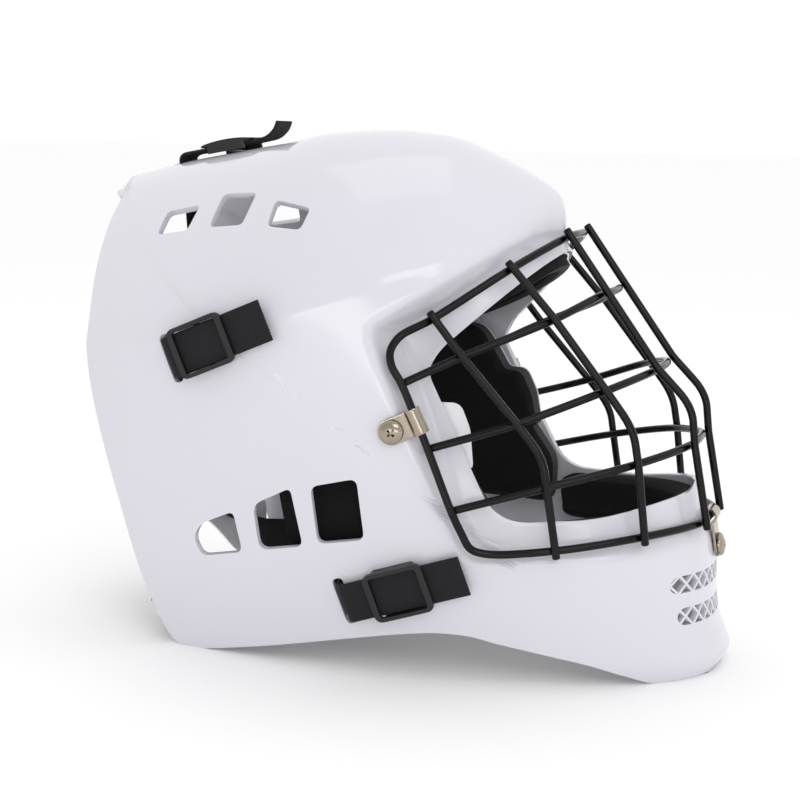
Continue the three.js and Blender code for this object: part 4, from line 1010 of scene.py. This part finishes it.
def screwPiece(name, spot):
    shank, head = screw["shank"] / 2, screw["head"] / 2
    seat = clip["seat"] + cage["gap"] + clip["thick"]
    end = -shell["wall"] - 7
    dome = [(head * math.sin(a), seat + 0.9 + 2.3 * math.cos(a)) for a in np.linspace(math.pi / 2, 0.04, 12)]
    threads = []
    for k in range(9):
        z = end + 0.8 + k * 0.8
        threads += [(shank - 0.35, z - 0.2), (shank, z + 0.2)]
    profile = [(0.02, end), (shank - 0.7, end), *threads, (shank, end + 8.4), (shank, seat), (head - 0.25, seat),
               (head, seat + 0.25), *dome]
    count = 40
    local = [(r * math.cos(a), r * math.sin(a), h) for r, h in profile for a in np.linspace(0, 2 * math.pi, count + 1)[:-1]]
    rows = len(profile)
    faces = gridFaces(rows, count, True) + [tuple(range(count)), tuple(range(rows * count - 1, (rows - 1) * count - 1, -1))]
    piece = putPiece(f"clip_screw_{name}_body", toMesh("screw", fromFrame(spot, local), faces), finish["nickel"], None)
    turnOutwards(piece)
    # cross recess: two tapered blades
    top, deep = seat + 4.2, seat + 3.2 - screw["recessDeep"]
    for quarter in (0, 90):
        turn = math.radians(screw["turn"] + quarter)
        corners = []
        for level, length, width in ((deep, screw["recess"] * 0.45, screw["slot"] * 0.3), (top, screw["recess"] * 1.25, screw["slot"] * 0.62)):
            for a, b in ((-1, -1), (1, -1), (1, 1), (-1, 1)):
                u, v = a * length, b * width
                corners.append((u * math.cos(turn) - v * math.sin(turn), u * math.sin(turn) + v * math.cos(turn), level))
        faces = [(0, 3, 2, 1), (4, 5, 6, 7), *[(k, (k + 1) % 4, 4 + (k + 1) % 4, 4 + k) for k in range(4)]]
        tool = putPiece("tool", toMesh("tool", fromFrame(spot, corners), faces), finish["nickel"], None, smooth=False)
        turnOutwards(tool)
        cutAway(piece, tool)
    finishPiece(piece, "nickel", "mask", f"clip_screw_{name}")
    shadeByAngle(piece, 40)


def shadeByAngle(piece, degrees):
    piece.data.set_sharp_from_angle(angle=math.radians(degrees))


def nutPiece(name, spot):
    corner = nut["across"] / math.sqrt(3)
    near = -shell["wall"] - nut["standOff"]
    ring = [(corner * math.cos(k * math.pi / 3), corner * math.sin(k * math.pi / 3)) for k in range(6)]
    local = [(*p, near - nut["thick"]) for p in ring] + [(*p, near) for p in ring]
    faces = gridFaces(2, 6, True) + [(0, 1, 2, 3, 4, 5), (11, 10, 9, 8, 7, 6)]
    piece = putPiece(f"clip_nut_{name}_body", toMesh("nut", fromFrame(spot, local), faces), finish["nickel"], None)
    turnOutwards(piece)
    cutAway(piece, rodTool(spot, screw["shank"] / 2 + cage["gap"], near - 6, near + 2))
    addModifier(piece, "BEVEL", width=0.35 * metresPerMm, segments=2, limit_method="ANGLE", angle_limit=math.radians(40))
    settle(piece)
    finishPiece(piece, "nickel", "mask", f"clip_nut_{name}")
    shadeByAngle(piece, 40)


for clipName, spot in clipFrames.items():
    clipPiece(clipName, spot)
    screwPiece(clipName, spot)
    nutPiece(clipName, spot)
say("clips, screws and nuts ready")


# foam: flat outlines laid against the shell or the plate, their edges rounded
foam = {"thick": 10.0, "standOff": 1.4, "board": 1.0, "gap": 0.3, "crownThick": 8.0, "plateThick": 9.0,
        "edgeRound": 3.6, "size": 2.0, "sag": 0.5}
onShell = shell["wall"] + foam["standOff"]
onBoard = onShell + foam["board"] + foam["gap"]
sidePadOutline = [(-46, 57, 8), (-62, 146, 14), (10, 156, 8), (21, 141, 5), (25.5, 133, 2), (36, 133, 4),
                  (41.5, 121, 3), (44, 103, 2), (41, 102.5, 1), (54, 84, 6), (53, 58, 8)]

sideBoardOutline = [(-58, 101, 8), (-62, 146, 14), (10, 156, 8), (21, 141, 5), (25.5, 133, 2), (36, 133, 4),
                    (41.5, 121, 3), (44, 103, 2), (41, 102.5, 1), (47, 90, 6), (38, 88, 6), (4, 101, 8)]


def roundedBox(width, height, radius, spacing):
    half, tall = width / 2, height
    return roundedLoop([(-half, 0, radius), (-half, tall, radius), (half, tall, radius), (half, 0, radius)], spacing)


def distanceIn(points, loop):
    a, b = loop, np.roll(loop, -1, axis=0)
    best = np.full(len(points), 1e9)
    for p, q in zip(a, b):
        d = q - p
        t = np.clip(((points - p) @ d) / max(d @ d, 1e-12), 0, 1)
        best = np.minimum(best, np.linalg.norm(points - (p + t[:, None] * d), axis=1))
    return best


# A pad: its outline as a loop on a plane, and lay(), which puts plane points at a depth.
def foamPad(name, loop, lay, near, thick, node, body="mask", size=None, round=None, finishes=("foam", "cutFoam")):
    size, edge = size or foam["size"], foam["edgeRound"] if round is None else round
    flat, faces = flatMesh(loop, [], [], size)
    inward = distanceIn(flat, loop)
    onEdge = inward < 1e-4
    past = np.clip(1 - inward / edge, 0, 1)
    swell = 1 - np.clip(inward / 26, 0, 1)
    depthFar = near + thick - min(edge, thick * 0.8) * (1 - np.sqrt(np.maximum(1 - past ** 2, 0))) - foam["sag"] * swell ** 2 * (thick > 3)
    nearSide = lay(flat, np.full(len(flat), near))
    farSide = lay(flat, depthFar)
    count = len(flat)
    loopAt = [int(np.argmin(np.abs(flat - p).sum(1))) for p in loop]
    points = np.concatenate([nearSide, farSide])
    solid = [tuple(f) for f in faces] + [tuple(f[::-1] + count) for f in faces]
    walls = [(a, b, b + count, a + count) for a, b in zip(loopAt, loopAt[1:] + loopAt[:1]) if a != b]
    mesh = toMesh(name, points, solid + walls)
    for key in finishes:
        mesh.materials.append(finish[key])
    piece = putPiece(name, mesh, finish[finishes[0]], None)
    if len(finishes) > 1:
        mesh.polygons.foreach_set("material_index", [0] * len(solid) + [1] * len(walls))
    turnOutwards(piece)
    if body:
        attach(piece, body)
    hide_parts(node)
    piece.data.set_sharp_from_angle(angle=math.radians(38))
    return piece


def laySide(side):
    return lambda flat, depth: underSurface(flat[:, 0], flat[:, 1], side, depth, True)


def frontLay(startX, lowAt, highAt, half, tall, level):
    def lay(flat, depth):
        c = flat[:, 0] / half
        share = np.cos(np.pi / 2 * np.clip(np.abs(c), 0, 1))
        low, high = lowAt(share), highAt(share)
        z = low + (high - low) * flat[:, 1] / tall
        front = readCurve(frontLine, z)
        x = startX + (front - startX) * share
        x = np.minimum(x, front - 0.02)
        side = np.where(c < 0, -1, 1)
        points = underSurface(x, z, side, depth, level)
        # points on the middle line are put exactly where the two halves meet
        close = np.abs(points[:, 1]) < 3
        points[close, 1] = np.where(np.abs(c[close]) < 1e-6, 0, points[close, 1])
        return points
    return lay


def domeHeights(x, y):
    low, high = readCurve(creaseLine, x), readCurve(crownLine, x)
    for _ in range(34):
        middle = (low + high) / 2
        wideEnough = halfWidth(x, middle) > y
        low, high = np.where(wideEnough, middle, low), np.where(wideEnough, high, middle)
    return low


def layCrown(flat, depth):
    x, y = flat[:, 1] + padSpan["crownBack"], flat[:, 0]
    flank = np.maximum(np.abs(y), 3.0)
    height = domeHeights(x, flank)
    right = underSurface(x, height, 1, depth)
    points = right.copy()
    points[:, 1] = np.where(np.abs(y) < 3, y * right[:, 1] / 3, np.sign(y) * right[:, 1])
    return points


padSpan = {"crownBack": -104, "crownFront": 22, "crownHalf": 34, "chinStart": 58, "foreheadStart": 5,
           "frontHalf": 112, "plateHalf": 58}
for sideName, side in (("left", 1), ("right", -1)):
    loop = roundedLoop(sidePadOutline, 1.8)
    foamPad(f"side_pad_board_{sideName}_sheet", roundedLoop(sideBoardOutline, 1.8), laySide(side), onShell, foam["board"], f"side_pad_board_{sideName}",
            size=3.2, round=0.3, finishes=("plate",))
    pad = foamPad(f"side_pad_{sideName}_foam", loop, laySide(side), onBoard, foam["thick"], f"side_pad_{sideName}")

chinLoop = roundedBox(2 * padSpan["frontHalf"], 30, 6, 2.0)
chinPad = foamPad("chin_pad_foam", chinLoop, frontLay(padSpan["chinStart"], lambda s: 50 + 0 * s, lambda s: 75 + 10 * s,
                                                      padSpan["frontHalf"], 30, False), onShell, foam["thick"], "chin_pad", body=None)
pocket = nut["across"] * 0.75
cutChin = rodTool(clipFrames["chin"], pocket, -shell["wall"] - nut["standOff"] - nut["thick"] - 2.5, 2)
cutAway(chinPad, cutChin)
finishPiece(chinPad, "foam", "mask", None)
chinPad.data.set_sharp_from_angle(angle=math.radians(38))

foreheadLoop = roundedBox(2 * padSpan["frontHalf"], 25, 6, 2.0)
foreheadLay = frontLay(padSpan["foreheadStart"], lambda s: 158 + 39 * s, lambda s: 184 + 36 * s, padSpan["frontHalf"], 25, True)
foamPad("forehead_pad_foam", foreheadLoop, foreheadLay, onShell, foam["thick"], "forehead_pad")

crownLoop = roundedBox(2 * padSpan["crownHalf"], padSpan["crownFront"] - padSpan["crownBack"], 14, 2.2)
foamPad("crown_pad_foam", crownLoop, layCrown, onShell, foam["crownThick"], "crown_pad")
say("pads against the shell ready")


# rear plate, bent round the back of the head
plate = {"radius": 85, "centre": -66, "thick": 2.6, "half": 74, "rim": 0.9}
plateTop = [(0, 168), (30, 167), (48, 161), (58, 148), (63, 110), (67, 62), (74, 42)]
plateBottom = [(0, 52), (20, 47), (40, 32), (56, 15), (66, 9), (74, 9)]
padTop = [(0, 150), (30, 149), (40, 143), (46, 128), (50, 100), (54, 62), (58, 50)]
padBottom = [(0, 66), (20, 61), (36, 48), (50, 36), (58, 38)]
plateSlots = {"crown": (0, 159, False), "upper_left": (52, 138, True), "upper_right": (-52, 138, True),
              "lower_left": (65, 26, True), "lower_right": (-65, 26, True)}


def layPlate(flat, depth):
    angle = flat[:, 0] / plate["radius"]
    radius = plate["radius"] - depth
    return np.stack([plate["centre"] - radius * np.cos(angle), radius * np.sin(angle), flat[:, 1]], -1)


def bentLoop(high, low, half, radius):
    arcs = np.linspace(-half, half, 49)
    top = [(a, float(readCurve(high, abs(a))), 1.0) for a in arcs]
    bottom = [(a, float(readCurve(low, abs(a))), 1.0) for a in arcs[::-1]]
    for line in (top, bottom):
        line[0], line[-1] = (*line[0][:2], radius), (*line[-1][:2], radius)
    return roundedLoop(top + bottom, 1.6)


def buildPlate():
    holes = []
    for arc, z, upright in plateSlots.values():
        long, wide = strapSpec["width"] / 2 + strapSpec["clearance"], strapSpec["thick"] / 2 + strapSpec["clearance"]
        a, b = (wide, long) if upright else (long, wide)
        holes.append(roundedLoop([(arc + s * a, z + t * b, 2.4) for s, t in ((-1, -1), (-1, 1), (1, 1), (1, -1))], 1.2))
    flat, faces = flatMesh(bentLoop(plateTop, plateBottom, plate["half"], 6), holes, [], 3.4)
    points = layPlate(flat, np.zeros(len(flat)))
    piece = putPiece("rear_plate_panel", toMesh("plate", points, faces), finish["plate"], None)
    turned = piece.data.polygons[0].normal
    middle = piece.data.polygons[0].center
    outwards = (middle.x - (plate["centre"] + middleShift) * metresPerMm) * turned.x + middle.y * turned.y > 0
    addModifier(piece, "SOLIDIFY", thickness=plate["thick"] * metresPerMm, offset=-1 if outwards else 1, use_rim=True)
    settle(piece)
    addModifier(piece, "BEVEL", width=plate["rim"] * metresPerMm, segments=3, limit_method="ANGLE", angle_limit=math.radians(50))
    settle(piece)
    return finishPiece(piece, "plate", "rear_plate", "rear_plate")


buildPlate()
platePad = foamPad("rear_plate_pad_foam", bentLoop(padTop, padBottom, padSpan["plateHalf"], 8), layPlate,
                   plate["thick"] + foam["gap"], foam["plateThick"], "rear_plate_pad", body="rear_plate")
say("rear plate ready")


# straps: woven elastic from its free end, through the slider and the shell, to the rear plate
def plateSlotFrame(name):
    arc, z, upright = plateSlots[name]
    angle = arc / plate["radius"]
    out = np.array([-math.cos(angle), math.sin(angle), 0])
    up = np.array([0, 0, 1.0])
    across = up if upright else np.cross(up, out)
    start = layPlate(np.array([[arc, z]], float), np.array([plate["thick"] / 2]))[0]
    return {"start": start, "out": out, "across": across}


def strapStations(name):
    """The strap's middle line with its width direction, as the frame's straps run."""
    spot, slotOf = strapFrames[name], plateSlotFrame(name)
    level = spot["lift"] + sliderSpec["standOff"] + sliderSpec["middleBar"] + sliderSpec["gap"] + strapSpec["thick"] / 2
    at = lambda u, o: spot["start"] + spot["along"] * u + spot["out"] * o
    length = spot["length"]
    tail = [(length + 3, level + 7.5), (length + 1, level + 4), (length - 2.5, level + 1.4), (length - 6, level + 0.2)]
    line = [at(u, o) for u, o in (tail if name == "crown" else [(length, level)])]
    line += [at(share * (length - 8) + 5, level) for share in (0.75, 0.5, 0.25)]
    widths = [spot["across"]] * len(line)
    bend = 3.2
    for a in np.linspace(0, math.pi / 2, 5):
        line.append(at(bend - bend * math.sin(a), level - bend + bend * math.cos(a)))
        widths.append(spot["across"])
    enter = at(0, -shell["wall"] - 2)
    leave = slotOf["start"] - slotOf["out"] * (plate["thick"] / 2 + 4)
    pull = np.linalg.norm(leave - enter) * 0.3
    b, c = enter - spot["out"] * pull * 0.5, leave - slotOf["out"] * pull * 0.8
    acrossEnd = slotOf["across"] * (1 if slotOf["across"] @ spot["across"] >= 0 else -1)
    for t in np.linspace(0, 1, 9):
        line.append((1 - t) ** 3 * enter + 3 * (1 - t) ** 2 * t * b + 3 * (1 - t) * t * t * c + t ** 3 * leave)
        blend = float(easeIn(t))
        widths.append(unit(spot["across"] * (1 - blend) + acrossEnd * blend))
    line.append(slotOf["start"] + slotOf["out"] * (plate["thick"] / 2 + 3))
    widths.append(acrossEnd)
    return np.array(line), np.array(widths)


def strapPiece(name):
    line, widths = strapStations(name)
    step = strapSpec["step"]
    path = evenly(np.concatenate([line, widths], -1), step, closed=False)
    lengths = np.r_[0, np.cumsum(np.linalg.norm(np.diff(line, axis=0), axis=1))]
    rows = int(lengths[-1] / step)
    s = np.linspace(0, lengths[-1], rows + 1)
    centre = np.stack([np.interp(s, lengths, line[:, k]) for k in range(3)], -1)
    wide = np.stack([np.interp(s, lengths, widths[:, k]) for k in range(3)], -1)
    ends = centre[[0, -1]].copy()
    for _ in range(14):
        centre[1:-1] = (centre[:-2] + centre[1:-1] * 2 + centre[2:]) / 4
    centre[[0, -1]] = ends
    tangent = np.gradient(centre, axis=0)
    tangent /= np.linalg.norm(tangent, axis=1, keepdims=True)
    flatWay = wide - (wide * tangent).sum(1, keepdims=True) * tangent
    flatWay /= np.linalg.norm(flatWay, axis=1, keepdims=True)
    normal = np.cross(tangent, flatWay)
    half = strapSpec["width"] / 2
    across = np.linspace(-half, half, int(2 * half / step) + 1)
    selvedge = np.clip((half - np.abs(across)) / 1.1, 0, 1)
    pitch = strapSpec["ribPitch"]
    S, W = np.meshgrid(s, across, indexing="ij")
    twill = 0.5 + 0.5 * np.cos(2 * math.pi * (S + 0.9 * W) / pitch)
    cross = 0.5 + 0.5 * np.cos(2 * math.pi * S / (pitch * 0.9))
    rib = np.where(selvedge[None, :] < 1, cross, twill)
    body = strapSpec["thick"] / 2 - strapSpec["ribHeight"]
    rounded = np.sqrt(np.clip(1 - (1 - np.clip((half - np.abs(across)) / 0.6, 0, 1)) ** 2, 0, 1))[None, :]
    high = (body + strapSpec["ribHeight"] * rib) * np.maximum(rounded, 0.3)
    base = centre[:, None, :] + flatWay[:, None, :] * across[None, :, None]
    top = base + normal[:, None, :] * high[..., None]
    under = base - normal[:, None, :] * high[..., None]
    n, m = len(s), len(across)
    points = np.concatenate([top.reshape(-1, 3), under.reshape(-1, 3)])
    faces = gridFaces(n, m) + [tuple(v + n * m for v in f[::-1]) for f in gridFaces(n, m)]
    rim = [(r, 0) for r in range(n)] + [(n - 1, c) for c in range(1, m)] + [(r, m - 1) for r in range(n - 2, -1, -1)]
    rim += [(0, c) for c in range(m - 2, 0, -1)]
    at = [r * m + c for r, c in rim]
    faces += [(a, b, b + n * m, a + n * m) for a, b in zip(at, at[1:] + at[:1])]
    uv = np.concatenate([np.stack([S.ravel(), W.ravel()], -1)] * 2)
    mesh = toMesh(name + "_strap", points, faces, uv)
    piece = putPiece(name + "_webbing", mesh, finish["webbing"], None)
    turnOutwards(piece)
    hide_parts(name + "_strap")
    near, far = centre[int(n * 0.45)], centre[-int(8 / step)]
    inMetres = lambda p: tuple(((p + (middleShift, 0, 0)) * metresPerMm).tolist())
    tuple(inMetres(plateSlotFrame(name)["start"]))
    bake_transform(piece)
    return piece


for name in strapFrames:
    strapPiece(name)
say("straps ready")


# sliders: flat frames over the strap with a bar under it
def sliderPiece(name):
    spot, spec = strapFrames[name], sliderSpec
    low = spot["lift"] + spec["standOff"]
    top = low + spec["middleBar"] + 2 * spec["gap"] + strapSpec["thick"]
    high = top + spec["thick"]
    railY = strapSpec["width"] / 2 + spec["gap"] + spec["rail"]
    half = spec["length"] / 2
    middle = spec["at"][name.split("_")[0]]
    origin = dict(spot, start=spot["start"] + spot["along"] * middle)
    lens = name == "crown"
    outer = roundedLoop([(-half, -railY, 4.2), (-half, railY, 4.2), (half, railY, 4.2), (half, -railY, 4.2)], 0.9)
    inX, inY = half - spec["bar"], railY - spec["rail"]
    inner = roundedLoop([(-inX, -inY, 1.2), (-inX, inY, 1.2), (inX, inY, 1.2), (inX, -inY, 1.2)], 0.9)
    flat, faces = flatMesh(outer, [inner], [], 1.4)
    side = 1 - np.abs(flat[:, 0]) / half

    def slab(bottomOf, topOf, flat, faces, loops):
        count = len(flat)
        lower = np.c_[flat, bottomOf(flat)]
        upper = np.c_[flat, topOf(flat)]
        walls = []
        for loop in loops:
            at = [int(np.argmin(np.abs(flat - p).sum(1))) for p in loop]
            walls += [(a, b, b + count, a + count) for a, b in zip(at, at[1:] + at[:1]) if a != b]
        solid = [tuple(f) for f in faces] + [tuple(f[::-1] + count) for f in faces] + walls
        mesh = toMesh("slab", fromFrame(origin, np.concatenate([lower, upper])), solid)
        piece = putPiece("slab", mesh, finish["acetal"], None)
        turnOutwards(piece)
        return piece

    # the crown slider thins to pointed ends; the others are faintly crowned
    thin = 0.72 if lens else 0.12
    topOf = lambda p: high - spec["thick"] * thin * (np.abs(p[:, 0]) / half) ** 2
    frameOf = slab(lambda p: np.full(len(p), top), topOf, flat, faces, [outer, inner])
    rails = []
    for sign in (-1, 1):
        a, b = sign * (railY - spec["rail"]), sign * (railY - 0.05)
        reach = half - 4.4
        box = roundedLoop([(-reach, a, 0.3), (-reach, b, 0.3), (reach, b, 0.3), (reach, a, 0.3)], 1.5)
        fine, cells = flatMesh(box, [], [], 1.6)
        rails.append(slab(lambda p: np.full(len(p), low), lambda p: np.full(len(p), top + 0.5), fine, cells, [box]))
    bar = roundedLoop([(-spec["bar"] / 2, -railY + 0.4, 0.4), (-spec["bar"] / 2, railY - 0.4, 0.4),
                       (spec["bar"] / 2, railY - 0.4, 0.4), (spec["bar"] / 2, -railY + 0.4, 0.4)], 1.0)
    fine, cells = flatMesh(bar, [], [], 1.2)
    rails.append(slab(lambda p: np.full(len(p), low + 0.02), lambda p: np.full(len(p), low + spec["middleBar"]), fine, cells, [bar]))
    for tool in rails:
        addModifier(frameOf, "BOOLEAN", operation="UNION", object=tool, solver="EXACT")
        settle(frameOf)
        bpy.data.objects.remove(tool)
    addModifier(frameOf, "BEVEL", width=0.45 * metresPerMm, segments=3, limit_method="ANGLE", angle_limit=math.radians(50),
                use_clamp_overlap=True)
    settle(frameOf)
    frameOf.name = name + "_slider_frame"
    finishPiece(frameOf, "acetal", name + "_slider", name + "_slider")
    shadeByAngle(frameOf, 45)


for name in strapFrames:
    sliderPiece(name)
say("sliders ready")
